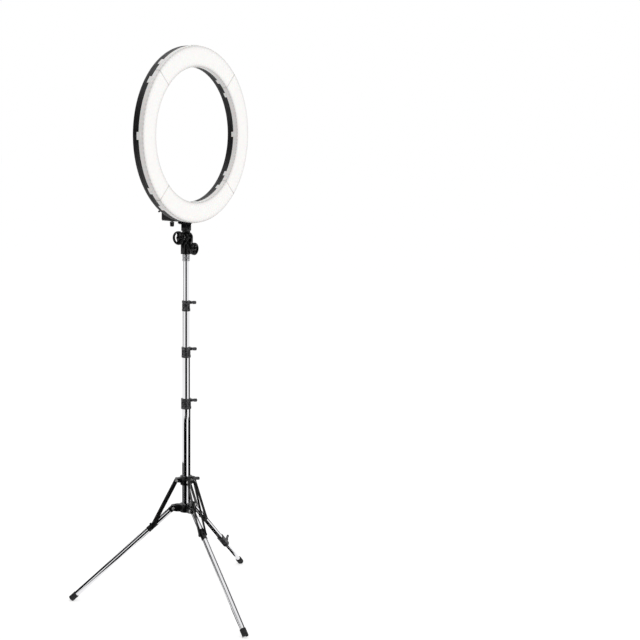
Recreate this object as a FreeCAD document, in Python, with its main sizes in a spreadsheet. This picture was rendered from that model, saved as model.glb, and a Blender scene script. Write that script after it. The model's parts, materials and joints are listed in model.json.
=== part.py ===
import FreeCAD, Part
import os
import re
import Sketcher

# A ring light on a three-section light stand whose legs fold up along the mast.
# Frame: millimetres, +Z up, origin on the floor at the mast's axis. The ring faces -Y
# and tilts about an axis along X.

# Driving dimensions. Each name becomes an alias in the spreadsheet.
DIMENSIONS = {
    # ring head
    "ring_od": 480, "ring_id": 367, "ring_depth": 36, "ring_clear": 7,
    "housing_depth": 22, "housing_wall": 2.2, "housing_round": 5,
    "board_inset": 3.4, "board_z": 13, "board_thick": 1.6, "post_radius": 4,
    "post_turn": 22.5, "led_side": 3.5, "led_thick": 1,
    "diffuser_wall": 1.5, "diffuser_round": 3, "seam_angle": 0.3,
    "tab_thick": 1.4, "tab_gap": 0.15, "tab_reach": 5.5, "tab_root": 6, "tab_lap": 0.7,
    "tab_spread": 37, "tab_wide": 20, "inner_tab_wide": 14,
    "screw_radius": 1.5, "screw_head": 3, "screw_head_thick": 1.4, "screw_long": 10,
    "screw_gap": 0.1,
    # control box
    "box_wide": 110, "box_high": 46, "box_deep": 50, "box_lift": 4, "box_wall": 2,
    "box_round": 5, "cover_thick": 2, "corner_post": 3.4, "post_inset": 5.5,
    "driver_wide": 84, "driver_high": 30, "driver_back": 12, "choke_side": 16,
    "capacitor_radius": 5, "capacitor_long": 14,
    "dimmer_x": -38, "dimmer_back": 27, "dimmer_bushing": 3.5, "dimmer_case": 8,
    "dimmer_nut": 5.4, "dimmer_nut_thick": 2, "dimmer_shaft": 3, "dimmer_knob_od": 12.5,
    "dimmer_knob_long": 12.5, "dimmer_gap": 0.5, "flute_radius": 0.8,
    "switch_x": -44, "switch_up": 27, "switch_bushing": 3, "switch_stand": 5,
    "switch_bore": 2.1, "switch_nut": 4.4, "switch_nut_thick": 2, "lever_long": 12,
    "lever_thin": 0.9, "lever_thick": 1.7, "lever_ball": 2.8, "lever_pivot": 1.8,
    "lever_droop": 12, "inlet_x": 30, "inlet_up": 24, "inlet_radius": 4,
    "inlet_flange": 5.2, "inlet_stand": 1.5, "inlet_bore": 2.75, "inlet_pin": 1,
    "inlet_long": 16,
    # bracket, tilt joint and socket
    "plate_half": 15, "plate_front": 14, "plate_rear": 22, "plate_thick": 3,
    "plate_gap": 2, "plate_round": 8, "riser_half": 12, "riser_front": 4,
    "bracket_screw_x": 7.5, "bracket_screw_y": 15, "bracket_screw": 2.5,
    "neck_x": 12, "neck_y": 10, "neck_drop": 20, "tongue_half": 6, "tongue_radius": 12,
    "cheek_gap": 0.2, "cheek_thick": 8, "cheek_radius": 13, "tilt_bolt": 4,
    "running_gap": 0.05, "bolt_head": 6.5, "bolt_head_thick": 5, "washer_radius": 8,
    "washer_thick": 1, "socket_radius": 15, "tilt_rise": 47,
    "socket_boss": 6, "socket_boss_out": 3, "lock_z": 16, "lock_stud": 3,
    "tilt_wheel_od": 38.5, "lock_wheel_od": 35, "wheel_thick": 7, "wheel_rim": 4.5,
    "wheel_bar": 8, "wheel_round": 1.2, "wheel_hub": 7, "tilt_hub_long": 15,
    "lock_hub_long": 6, "wheel_gap": 0.3, "bolt_in_wheel": 12,
    "spigot_flange": 10.5, "spigot_high": 20, "spigot_stud": 8, "stud_high": 26,
    "spigot_plug_long": 20, "spigot_groove": 1, "spigot_groove_high": 3,
    # mast
    "tube_1_od": 25, "tube_2_od": 22, "tube_3_od": 19, "tube_4_od": 16, "tube_wall": 1.2,
    "tube_gap": 0.3, "seat_gap": 0.05, "span_1": 293.3, "span_2": 149, "span_3": 133,
    "span_4": 142, "inside_1": 180, "inside_2": 210, "inside_3": 250,
    "clamp_high": 30, "clamp_wall": 2.2, "clamp_waist": 0.9, "flange_high": 7,
    "clamp_top": 10, "clamp_boss": 4.6, "clamp_boss_out": 3.5, "wing_stud": 2.5,
    "wing_long": 13, "wing_high": 9, "wing_thick": 3.6, "wing_round": 3.4, "wing_gap": 0.4,
    "wing_azimuth": -53.8, "grip_drop": 5.5,
    # tripod
    "leg_azimuth": 6.2, "leg_angle": 42.8, "leg_reach": 333, "foot_rise": 4,
    "hub_pivot_r": 37.5, "hub_radius": 19, "hub_below": 11, "hub_above": 11,
    "ear_root": 28, "ear_low": 10, "ear_high": 10, "ear_shoulder": 9.5, "ear_round": 8,
    "ear_thick": 4, "tongue_thick": 8, "tongue_gap": 0.3, "slot_back": 13.5,
    "pin_radius": 2.5, "pin_head": 4, "pin_head_thick": 1.5, "plug_thick": 4,
    "leg_od": 16, "leg_start": 12.5, "leg_plug": 22, "junction": 80.8,
    "sleeve_long": 32, "sleeve_wall": 0.8, "sleeve_stud": 3, "sleeve_stud_high": 3,
    "foot_radius": 9, "foot_long": 23, "foot_tip": 3,
    "level_clamp_start": 221, "level_clamp_long": 51, "level_clamp_wall": 2.2,
    "level_seat": 14, "level_tube_od": 13, "level_tube_start": 158,
    "collar_pivot_r": 27.6, "collar_radius": 17, "collar_below": 13, "collar_above": 12,
    "lug_half": 8.8, "lug_root": 8, "lug_round": 5, "collar_boss_z": 4,
    "collar_wing_long": 18, "brace_long": 154.1, "brace_inner": 9.2, "brace_thick": 1.8,
    "brace_half": 5,
}

RING_TABS = ("-tab_spread", "0", "tab_spread")
POSTS = 8
LED_RINGS = (0.24, 0.5, 0.76)
LEDS_PER_RING = 60
LEG_COUNT = 3
LEVEL_LEG = 0
FLUTES = 18

# Heights and places that follow from the driving dimensions.
FOOT_S = "((leg_reach - hub_pivot_r) / cos(leg_angle))"
HUB_Z = "(foot_rise + (leg_reach - hub_pivot_r) * tan(leg_angle))"
PIVOT_STEP = "(hub_pivot_r - collar_pivot_r + junction * cos(leg_angle))"
COLLAR_Z = f"({HUB_Z} + sqrt(brace_long^2 - {PIVOT_STEP}^2) - junction * sin(leg_angle))"
BRACE_ANGLE = f"(acos({PIVOT_STEP} / brace_long) / 1deg)"
CLAMP_Z = (f"({HUB_Z} + span_1)", f"({HUB_Z} + span_1 + span_2)",
           f"({HUB_Z} + span_1 + span_2 + span_3)")
SPIGOT_Z = f"({HUB_Z} + span_1 + span_2 + span_3 + span_4)"
SOCKET_Z = f"({SPIGOT_Z} + spigot_high)"
TILT_Z = f"({SOCKET_Z} + tilt_rise)"
PLATE_BOTTOM = f"({TILT_Z} + tongue_radius + 6 + neck_drop)"
RING_Z = f"({PLATE_BOTTOM} + plate_thick + plate_gap + ring_od / 2)"
BOX_BOTTOM = "(box_lift - ring_od / 2)"

doc = FreeCAD.newDocument("RingLight")
sheet = doc.addObject("Spreadsheet::Sheet", "dims")
nodes = []


# ---------------------------------------------------------------- helpers

def fill_sheet():
    """Write each driving dimension into the sheet, with its name as alias."""
    for row, (alias, number) in enumerate(DIMENSIONS.items(), start=1):
        sheet.set(f"A{row}", alias)
        sheet.set(f"B{row}", str(number))
        sheet.setAlias(f"B{row}", alias)
    doc.recompute()


def bound(text):
    """The expression with the sheet's name before each alias."""
    return re.sub(r"[a-z]\w*", lambda m: f"dims.{m[0]}" if m[0] in DIMENSIONS else m[0], text)


def number(text):
    """The present value of an expression."""
    result = sheet.evalExpression(bound(text))
    return float(getattr(result, "Value", result))


def location(at, turns):
    """A placement expression: the turns, outermost first, then a move to at."""
    axes = {"X": "1; 0; 0", "Y": "0; 1; 0", "Z": "0; 0; 1"}
    spins = [f"rotation(vector({axes[axis]}); {angle})" for axis, angle in turns]
    spin = " * ".join(spins or ["rotation(vector(0; 0; 1); 0)"])
    return bound(f"placement(vector({'; '.join(at)}); {spin})")


def place(item, at=("0", "0", "0"), *turns):
    item.setExpression("Placement", location(at, turns))
    return item


def primitive(kind, name, sizes, at, turns):
    item = doc.addObject(f"Part::{kind}", name)
    for key, text in sizes.items():
        item.setExpression(key, bound(text))
    return place(item, at, *turns)


def cylinder(name, radius, length, at=("0", "0", "0"), *turns):
    return primitive("Cylinder", name, {"Radius": radius, "Height": length}, at, turns)


def cone(name, low, high, length, at=("0", "0", "0"), *turns):
    sizes = {"Radius1": low, "Radius2": high, "Height": length}
    return primitive("Cone", name, sizes, at, turns)


def ball(name, radius, at=("0", "0", "0")):
    return primitive("Sphere", name, {"Radius": radius}, at, ())


def box(name, low, high):
    """A box between two corners given as expressions."""
    sizes = {key: f"({b}) - ({a})" for key, a, b in zip(("Length", "Width", "Height"), low, high)}
    return primitive("Box", name, sizes, low, ())


def fuse(name, *parts):
    item = doc.addObject("Part::MultiFuse", name)
    item.Shapes = list(parts)
    return item


def cut(name, base, *tools):
    item = doc.addObject("Part::Cut", name)
    item.Base = base
    item.Tool = tools[0] if len(tools) == 1 else fuse(f"{name}_tools", *tools)
    return item


def group(name, parts):
    item = doc.addObject("Part::Compound", name)
    item.Links = list(parts)
    return item


def rounded(name, base, radius, wanted):
    """Round the edges of a Part object that the test picks."""
    doc.recompute()
    item = doc.addObject("Part::Fillet", name)
    item.Base = base
    size = number(radius)
    item.Edges = [(n, size, size) for n, edge in enumerate(base.Shape.Edges, 1) if wanted(edge)]
    return item


def node(item, name):
    """Declare the item a sub-part, whose name is also its file's name."""
    item.Label = name
    nodes.append(item)
    return item


def new_body(name, at=("0", "0", "0"), *turns):
    return place(doc.addObject("PartDesign::Body", name), at, *turns)


def origin(body, role):
    return next(item for item in body.Origin.OriginFeatures if item.Role == role)


def sketch(body, name, plane, lift="0", spin="0"):
    """A sketch on one of the body's planes, lifted along its normal, spun about its own Y."""
    item = body.newObject("Sketcher::SketchObject", name)
    item.AttachmentSupport = (origin(body, plane), [""])
    item.MapMode = "FlatFace"
    item.setExpression("AttachmentOffset", location(("0", "0", lift), [("Y", spin)]))
    return item


def tie_point(item, geometry, position, point):
    for axis, text in zip("XY", point):
        rule = Sketcher.Constraint(f"Distance{axis}", -1, 1, geometry, position, number(text))
        index = item.addConstraint(rule)
        item.setExpression(f"Constraints[{index}]", bound(text))


def outline(item, points):
    """A closed outline of straight edges, each corner tied to the sheet."""
    start = item.GeometryCount
    corners = [FreeCAD.Vector(number(x), number(y), 0) for x, y in points]
    for here, there in zip(corners, corners[1:] + corners[:1]):
        item.addGeometry(Part.LineSegment(here, there), False)
    for n, point in enumerate(points):
        after = start + (n + 1) % len(points)
        item.addConstraint(Sketcher.Constraint("Coincident", start + n, 2, after, 1))
        tie_point(item, start + n, 1, point)
    return item


def rectangle(item, low, high):
    return outline(item, [low, (high[0], low[1]), high, (low[0], high[1])])


def circle(item, centre, radius):
    middle = FreeCAD.Vector(number(centre[0]), number(centre[1]), 0)
    index = item.addGeometry(Part.Circle(middle, FreeCAD.Vector(0, 0, 1), number(radius)), False)
    tie_point(item, index, 3, centre)
    rule = item.addConstraint(Sketcher.Constraint("Radius", index, number(radius)))
    item.setExpression(f"Constraints[{rule}]", bound(radius))
    return item


def feature(body, kind, profile, **settings):
    item = body.newObject(f"PartDesign::{kind}", f"{profile.Name}_{kind.lower()}")
    item.Profile = profile
    for key, setting in settings.items():
        if isinstance(setting, str) and key in ("Length", "Angle"):
            item.setExpression(key, bound(setting))
        else:
            setattr(item, key, setting)
    doc.recompute()
    return item


def pad(body, profile, length, **settings):
    return feature(body, "Pad", profile, Length=length, **settings)


def pocket(body, profile, length=None, **settings):
    """Cut the profile out. It must take some material away."""
    before = body.Shape.Volume
    if length:
        item = feature(body, "Pocket", profile, Length=length, **settings)
    else:
        item = feature(body, "Pocket", profile, Type="ThroughAll", **settings)
    if body.Shape.Volume > before - 0.01:
        raise ValueError(f"{item.Name} cuts nothing")
    return item


def revolve(body, profile, angle="360", axis="V_Axis", **settings):
    item = body.newObject("PartDesign::Revolution", f"{profile.Name}_turned")
    item.Profile = profile
    item.ReferenceAxis = (profile, [axis])
    item.setExpression("Angle", bound(angle))
    for key, setting in settings.items():
        setattr(item, key, setting)
    doc.recompute()
    return item


def fillet(body, radius, wanted):
    base = body.Tip
    edges = [f"Edge{n}" for n, edge in enumerate(base.Shape.Edges, 1) if wanted(edge)]
    item = body.newObject("PartDesign::Fillet", f"{base.Name}_fillet")
    item.Base = (base, edges)
    item.setExpression("Radius", bound(radius))
    doc.recompute()
    return item


def around(body, features, count):
    """Repeat features around the body's Z axis."""
    item = body.newObject("PartDesign::PolarPattern", f"{features[0].Name}_around")
    item.Originals = features
    item.Axis = (origin(body, "Z_Axis"), [""])
    item.Angle = 360
    item.Occurrences = count
    body.Tip = item
    doc.recompute()
    return item


def is_circle(edge, height=None):
    """Whether the edge is a full circle about Z, at a height if one is given."""
    if not isinstance(edge.Curve, Part.Circle) or len(edge.Vertexes) > 1:
        return False
    return height is None or abs(edge.Curve.Center.z - number(height)) < 0.01


def runs_along(edge, axis, least=0.0):
    """Whether a straight edge runs along an axis (0, 1 or 2) and is long enough."""
    if not isinstance(edge.Curve, Part.Line) or edge.Length < least:
        return False
    return abs(abs(edge.Curve.Direction[axis]) - 1) < 1e-6


# ---------------------------------------------------------------- ring head
# Built with X to the right, Y up and Z out of the ring's face, from the housing's back.

HEAD = (("0", "-ring_clear", RING_Z), ("X", "90"))


def ring_housing():
    """A dished annulus with posts that carry the board."""
    body = new_body("housing_body", *HEAD)
    ring = sketch(body, "housing_ring", "XY_Plane")
    for across in ("ring_od / 2", "ring_id / 2"):
        circle(ring, ("0", "0"), across)
    pad(body, ring, "housing_depth")
    fillet(body, "housing_round", lambda edge: is_circle(edge, "0"))
    channel = sketch(body, "housing_channel", "XY_Plane", "housing_wall")
    for across in ("ring_od / 2 - housing_wall", "ring_id / 2 + housing_wall"):
        circle(channel, ("0", "0"), across)
    pocket(body, channel, Reversed=True)
    middle = "(ring_od + ring_id) / 4"
    spot = (f"{middle} * cos(post_turn)", f"{middle} * sin(post_turn)")
    post = sketch(body, "housing_post", "XY_Plane", "housing_wall / 2")
    posts = pad(body, circle(post, spot, "post_radius"), "board_z - housing_wall / 2")
    hole = sketch(body, "housing_hole", "XY_Plane")
    holes = pocket(body, circle(hole, spot, "screw_radius + screw_gap"), Reversed=True)
    around(body, [posts, holes], POSTS)
    node(body, "ring_housing")


def led_board():
    """The annular circuit board that stands on the posts."""
    place_at = ("0", "0", "board_z")
    outer = cylinder("board_outer", "ring_od / 2 - board_inset", "board_thick", place_at)
    inner = cylinder("board_inner", "ring_id / 2 + board_inset", "board_thick", place_at)
    node(place(cut("board_cut", outer, inner), *HEAD), "led_board")


def led_packages():
    """Rings of small square light sources on the board."""
    side = number("led_side")
    thick = number("led_thick")
    inner = number("ring_id / 2 + board_inset")
    wide = number("ring_od / 2 - board_inset") - inner
    top = number("board_z + board_thick")
    chips = []
    for share in LED_RINGS:
        for n in range(LEDS_PER_RING):
            chip = Part.makeBox(side, side, thick)
            chip.translate(FreeCAD.Vector(inner + share * wide - side / 2, -side / 2, top))
            chip.rotate(FreeCAD.Vector(0, 0, 0), FreeCAD.Vector(0, 0, 1), 360 * n / LEDS_PER_RING)
            chips.append(chip)
    item = doc.addObject("Part::Feature", "led_shape")
    item.Shape = Part.makeCompound(chips)
    node(place(item, *HEAD), "led_packages")


def diffuser(index):
    """A quarter of the translucent front, a channel with tabs over the housing."""
    at, turn = HEAD
    body = new_body(f"diffuser_body_{index}", at, turn, ("Z", str(90 * index)))
    outer, inner, low, high = "ring_od / 2", "ring_id / 2", "housing_depth", "ring_depth"
    shell = sketch(body, f"diffuser_shell_{index}", "XZ_Plane")
    outline(shell, [
        (inner, low), (inner, high), (outer, high), (outer, low),
        (f"{outer} - diffuser_wall", low), (f"{outer} - diffuser_wall", f"{high} - diffuser_wall"),
        (f"{inner} + diffuser_wall", f"{high} - diffuser_wall"), (f"{inner} + diffuser_wall", low)])
    revolve(body, shell, "90 - seam_angle", Midplane=True)

    def front_rim(edge):
        return isinstance(edge.Curve, Part.Circle) and all(
            abs(v.Z - number(high)) < 0.01 for v in edge.Vertexes)

    fillet(body, "diffuser_round", front_rim)
    for side, radius, sign, wide in (("outer", outer, "+", "tab_wide"),
                                     ("inner", inner, "-", "inner_tab_wide")):
        lap = "-" if sign == "+" else "+"
        near, far = f"{radius} {sign} tab_gap", f"{radius} {sign} tab_thick"
        root, back = f"{radius} {lap} tab_lap", f"{low} - tab_reach"
        front = f"{low} + tab_root"
        for n, spin in enumerate(RING_TABS):
            tab = sketch(body, f"tab_{side}_{index}_{n}", "XZ_Plane", "0", spin)
            outline(tab, [(near, back), (far, back), (far, front), (root, front),
                          (root, low), (near, low)])
            revolve(body, tab, f"{wide} / ({radius}) * 180 / pi", Midplane=True)
    node(body, f"diffuser_{index + 1}")


def pan_screw(name, at, *turns):
    """A pan-head screw whose shank points along its Z from under its head."""
    shank = cylinder(f"{name}_shank", "screw_radius", "screw_long")
    head = cylinder(f"{name}_head", "screw_head", "screw_head_thick",
                    ("0", "0", "-screw_head_thick"))
    return place(fuse(name, shank, head), at, *turns)


def housing_screws():
    middle = "(ring_od + ring_id) / 4"
    screws = []
    for n in range(POSTS):
        angle = f"(post_turn + {360 * n / POSTS})"
        spot = (f"{middle} * cos{angle}", f"{middle} * sin{angle}", "0")
        screws.append(pan_screw(f"housing_screw_{n}", spot))
    node(place(group("housing_screw_group", screws), *HEAD), "housing_screws")


# ---------------------------------------------------------------- control box
# In the same frame as the ring head, behind the housing's foot.

BOX_LOW = ("-box_wide / 2", BOX_BOTTOM)
BOX_HIGH = ("box_wide / 2", f"{BOX_BOTTOM} + box_high")
BOX_BACK = "(-box_deep)"


def box_corners(inset):
    """The four points at an inset from the box's corners."""
    xs = (f"{BOX_LOW[0]} + {inset}", f"{BOX_HIGH[0]} - {inset}")
    ys = (f"{BOX_LOW[1]} + {inset}", f"{BOX_HIGH[1]} - {inset}")
    return [(x, y) for x in xs for y in ys]


def control_box():
    """An open-backed box with corner posts and holes in its floor."""
    body = new_body("box_body", *HEAD)
    back = "(cover_thick - box_deep)"
    wall = sketch(body, "box_wall_outline", "XY_Plane", back)
    pad(body, rectangle(wall, BOX_LOW, BOX_HIGH), "box_deep - cover_thick")
    fillet(body, "box_round", lambda edge: runs_along(edge, 2))
    cavity = sketch(body, "box_cavity", "XY_Plane", back)
    rectangle(cavity, tuple(f"{v} + box_wall" for v in BOX_LOW),
              tuple(f"{v} - box_wall" for v in BOX_HIGH))
    pocket(body, cavity, "box_deep - cover_thick - box_wall", Reversed=True)
    posts = sketch(body, "box_posts", "XY_Plane", back)
    for corner in box_corners("post_inset"):
        circle(posts, corner, "corner_post")
    pad(body, posts, "box_deep - cover_thick - box_wall / 2")
    holes = sketch(body, "box_post_holes", "XY_Plane", back)
    for corner in box_corners("post_inset"):
        circle(holes, corner, "screw_radius + screw_gap")
    pocket(body, holes, "screw_long", Reversed=True)
    floor = sketch(body, "box_floor_holes", "XZ_Plane", f"-{BOX_BOTTOM}")
    circle(floor, ("dimmer_x", "-dimmer_back"), "dimmer_bushing + screw_gap")
    for sign in ("-", ""):
        spot = (f"{sign}bracket_screw_x", "-ring_clear - bracket_screw_y")
        circle(floor, spot, "bracket_screw + screw_gap")
    pocket(body, floor, "box_wall + 0.5")
    node(body, "control_box")


def control_box_cover():
    """The rear cover, which carries the switch and the inlet."""
    body = new_body("cover_body", *HEAD)
    plate = sketch(body, "cover_plate", "XY_Plane", BOX_BACK)
    pad(body, rectangle(plate, BOX_LOW, BOX_HIGH), "cover_thick")
    fillet(body, "box_round", lambda edge: runs_along(edge, 2))
    holes = sketch(body, "cover_holes", "XY_Plane", BOX_BACK)
    for corner in box_corners("post_inset"):
        circle(holes, corner, "screw_radius + screw_gap")
    circle(holes, ("switch_x", f"{BOX_BOTTOM} + switch_up"), "switch_bushing + screw_gap")
    circle(holes, ("inlet_x", f"{BOX_BOTTOM} + inlet_up"), "inlet_radius + screw_gap")
    pocket(body, holes, Reversed=True)
    node(body, "control_box_cover")


def cover_screws():
    screws = [pan_screw(f"cover_screw_{n}", (x, y, BOX_BACK))
              for n, (x, y) in enumerate(box_corners("post_inset"))]
    node(place(group("cover_screw_group", screws), *HEAD), "cover_screws")


def driver_board():
    """The power board with its choke and capacitor."""
    middle = f"{BOX_BOTTOM} + box_high / 2 + 1"
    board = box("driver_plate", ("-driver_wide / 2", f"{middle} - driver_high / 2", "-driver_back"),
                ("driver_wide / 2", f"{middle} + driver_high / 2", "board_thick - driver_back"))
    choke = box("driver_choke",
                ("-choke_side / 2", f"{middle} - choke_side / 2", "-driver_back - choke_side"),
                ("choke_side / 2", f"{middle} + choke_side / 2", "-driver_back"))
    can = cylinder("driver_can", "capacitor_radius", "capacitor_long",
                   ("choke_side * 1.5", middle, "-driver_back - capacitor_long"))
    node(place(fuse("driver_fused", board, choke, can), *HEAD), "driver_board")


def dimmer():
    """The dimmer's case with its bushing and nut, and the fluted knob under the box."""
    world_z = f"({RING_Z} + {BOX_BOTTOM})"
    at = ("dimmer_x", "dimmer_back - ring_clear", world_z)
    case = cylinder("dimmer_case_round", "dimmer_case", "dimmer_case", ("0", "0", "box_wall"))
    below = "dimmer_nut_thick + 1"
    bushing = cylinder("dimmer_bush", "dimmer_bushing", f"{below} + box_wall + 1",
                       ("0", "0", f"-({below})"))
    nut = primitive("Prism", "dimmer_hex", {"Circumradius": "dimmer_nut",
                    "Height": "dimmer_nut_thick"}, ("0", "0", "-dimmer_nut_thick"), ())
    bore = cylinder("dimmer_bore", "dimmer_shaft + running_gap", f"{below} + box_wall + 4",
                    ("0", "0", f"-({below}) - 1"))
    fixed = cut("dimmer_pot_cut", fuse("dimmer_pot_solid", case, bushing, nut), bore)
    node(place(fixed, at), "dimmer_pot")

    body = new_body("dimmer_knob_body", at, ("X", "180"))
    start = f"{below} + dimmer_gap"
    cap = sketch(body, "knob_cap", "XY_Plane", start)
    pad(body, circle(cap, ("0", "0"), "dimmer_knob_od / 2"), "dimmer_knob_long")
    top = f"{start} + dimmer_knob_long"
    fillet(body, "flute_radius * 2", lambda edge: is_circle(edge, top))
    flute = sketch(body, "knob_flute", "XY_Plane", start)
    spot = ("dimmer_knob_od / 2 + flute_radius / 2", "0")
    flutes = pocket(body, circle(flute, spot, "flute_radius"), "dimmer_knob_long * 0.7",
                    Reversed=True)
    around(body, [flutes], FLUTES)
    shaft = sketch(body, "knob_shaft", "XY_Plane", "-box_wall")
    pad(body, circle(shaft, ("0", "0"), "dimmer_shaft"), f"box_wall + {start} + 1")
    node(body, "dimmer_knob")


SWITCH_AT = ("switch_x", f"{BOX_BOTTOM} + switch_up", BOX_BACK)


def toggle_switch():
    """The switch's case, bushing and nut, and the ball-ended lever that droops."""
    x, y, _ = SWITCH_AT
    case = box("switch_case", (f"{x} - 4", f"{y} - 6.5", "cover_thick - box_deep"),
               (f"{x} + 4", f"{y} + 6.5", "cover_thick - box_deep + 11"))
    bushing = cylinder("switch_bush", "switch_bushing", "switch_stand + cover_thick + 1",
                       (x, y, f"{BOX_BACK} - switch_stand"))
    nut = primitive("Prism", "switch_hex", {"Circumradius": "switch_nut",
                    "Height": "switch_nut_thick"}, (x, y, f"{BOX_BACK} - switch_nut_thick"), ())
    bore = cylinder("switch_hole", "switch_bore", "switch_stand + 3",
                    (x, y, f"{BOX_BACK} - switch_stand - 1"))
    fixed = cut("switch_cut", fuse("switch_solid", case, bushing, nut), bore)
    node(place(fixed, *HEAD), "toggle_switch")

    # the lever's own Z runs out along it from its pivot
    out = "switch_stand / 2"
    stem = cone("lever_stem", "lever_thin", "lever_thin", f"{out} + 1.5")
    shaft = cone("lever_shaft", "lever_thin", "lever_thick", "lever_long", ("0", "0", f"{out} + 1"))
    parts = (ball("lever_root", "lever_pivot"), stem, shaft,
             ball("lever_end", "lever_ball", ("0", "0", f"{out} + 1 + lever_long")))
    lever = fuse("lever_fused", *parts)
    at = (x, f"box_deep - ring_clear + {out}", f"{RING_Z} + {y}")
    node(place(lever, at, ("X", "-90 - lever_droop")), "toggle_lever")


def power_inlet():
    """A round low-voltage inlet with its centre pin."""
    x, y = "inlet_x", f"{BOX_BOTTOM} + inlet_up"
    front = f"{BOX_BACK} - inlet_stand"
    barrel = cylinder("inlet_barrel", "inlet_radius", "inlet_long", (x, y, front))
    flange = cylinder("inlet_collar", "inlet_flange", "inlet_stand", (x, y, front))
    hole = cylinder("inlet_hole", "inlet_bore", "inlet_long", (x, y, f"{front} - inlet_stand"))
    pin = cylinder("inlet_centre", "inlet_pin", "inlet_long - 2", (x, y, f"{front} + 1"))
    shell = cut("inlet_shell", fuse("inlet_solid", barrel, flange), hole)
    node(place(fuse("inlet_fused", shell, pin), *HEAD), "power_inlet")


# ---------------------------------------------------------------- bracket and tilt joint

def mount_plate():
    """The plate under the ring, with a riser that the box stands on."""
    body = new_body("plate_body", ("0", "0", PLATE_BOTTOM))
    flat = sketch(body, "plate_flat", "XY_Plane")
    rectangle(flat, ("-plate_half", "-plate_front"), ("plate_half", "plate_rear"))
    pad(body, flat, "plate_thick")
    fillet(body, "plate_round", lambda edge: runs_along(edge, 2))
    riser = sketch(body, "plate_riser", "XY_Plane")
    rectangle(riser, ("-riser_half", "riser_front"), ("riser_half", "plate_rear - 3"))
    pad(body, riser, "plate_thick + plate_gap + box_lift")
    holes = sketch(body, "plate_holes", "XY_Plane")
    for sign in ("-", ""):
        circle(holes, (f"{sign}bracket_screw_x", "bracket_screw_y"), "bracket_screw + screw_gap")
    pocket(body, holes, Reversed=True)
    node(body, "mount_plate")


def bracket_screws():
    """Two screws up through the plate into nuts in the box."""
    rise = "plate_thick + plate_gap + box_lift + box_wall"
    screws = []
    for n, sign in enumerate(("-", "")):
        shank = cylinder(f"bracket_shank_{n}", "bracket_screw", f"{rise} + 3.5")
        head = cylinder(f"bracket_head_{n}", "bracket_screw * 1.7", "2.4", ("0", "0", "-2.4"))
        nut = primitive("Prism", f"bracket_nut_{n}", {"Circumradius": "bracket_screw * 1.7",
                        "Height": "2.5"}, ("0", "0", rise), ())
        screws.append(place(fuse(f"bracket_screw_{n}", shank, head, nut),
                            (f"{sign}bracket_screw_x", "bracket_screw_y", PLATE_BOTTOM)))
    node(group("bracket_screw_group", screws), "bracket_screws")


def tilt_neck():
    """The block under the plate, whose tongue turns between the socket's cheeks."""
    rise = "tongue_radius + 6"
    body = new_body("neck_body", ("0", "0", TILT_Z))
    block = sketch(body, "neck_block", "XY_Plane", rise)
    pad(body, rectangle(block, ("-neck_x", "-neck_y"), ("neck_x", "neck_y")), "neck_drop")
    fillet(body, "neck_y / 3", lambda edge: runs_along(edge, 2))
    tongue = sketch(body, "neck_tongue", "YZ_Plane")
    outline(tongue, [("-neck_y", "0"), ("neck_y", "0"), ("neck_y", f"{rise} + 2"),
                     ("-neck_y", f"{rise} + 2")])
    pad(body, tongue, "tongue_half * 2", Midplane=True)
    disc = sketch(body, "neck_disc", "YZ_Plane")
    pad(body, circle(disc, ("0", "0"), "tongue_radius"), "tongue_half * 2", Midplane=True)
    hole = sketch(body, "neck_hole", "YZ_Plane")
    pocket(body, circle(hole, ("0", "0"), "tilt_bolt + running_gap"), Midplane=True)
    node(body, "tilt_neck")


def tilt_bolt():
    """The bolt across the joint, its head against the right cheek, and two washers."""
    cheek = "(tongue_half + cheek_gap + cheek_thick)"
    end = f"({cheek} + washer_thick + wheel_gap + bolt_in_wheel)"
    along = ("Y", "90")
    shank = cylinder("bolt_shank", "tilt_bolt", f"{cheek} + {end} + washer_thick",
                     (f"-{end}", "0", "0"), along)
    head = primitive("Prism", "bolt_hex", {"Circumradius": "bolt_head",
                     "Height": "bolt_head_thick"}, (f"{cheek} + washer_thick", "0", "0"), [along])
    node(place(fuse("bolt_fused", shank, head), ("0", "0", TILT_Z)), "tilt_bolt")
    washers = []
    for n, start in enumerate((cheek, f"-{cheek} - washer_thick")):
        disc = cylinder(f"washer_disc_{n}", "washer_radius", "washer_thick",
                        (start, "0", "0"), along)
        hole = cylinder(f"washer_hole_{n}", "tilt_bolt + running_gap", "washer_thick * 3",
                        (f"{start} - washer_thick", "0", "0"), along)
        washers.append(cut(f"washer_{n}", disc, hole))
    node(place(group("washer_pair", washers), ("0", "0", TILT_Z)), "tilt_washers")


def hand_wheel(name, across, hub_long, at, turns, bore=None, stud=None):
    """A knob like a small wheel: a rim, a grip bar across it and a hub behind it."""
    rim = cylinder(f"{name}_disc", f"{across} / 2", "wheel_thick", ("0", "0", hub_long))
    soft = rounded(f"{name}_soft", rim, "wheel_round", is_circle)
    opening = cylinder(f"{name}_opening", f"{across} / 2 - wheel_rim", "wheel_thick + 2",
                       ("0", "0", f"{hub_long} - 1"))
    bar = box(f"{name}_bar", (f"-{across} / 2", "-wheel_bar / 2", f"{hub_long} - 1"),
              (f"{across} / 2", "wheel_bar / 2", f"{hub_long} + wheel_thick + 1"))
    windows = cut(f"{name}_windows", opening, bar)
    parts = [cut(f"{name}_wheel", soft, windows),
             cylinder(f"{name}_hub", "wheel_hub", f"{hub_long} + wheel_thick")]
    if stud:
        parts.append(cylinder(f"{name}_stud", stud[0], stud[1], ("0", "0", f"-({stud[1]})")))
    item = fuse(f"{name}_solid", *parts)
    if bore:
        hole = cylinder(f"{name}_bore", bore[0], f"{bore[1]} + 1", ("0", "0", "-1"))
        item = cut(f"{name}_cut", item, hole)
    node(place(item, at, *turns), name)


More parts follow.
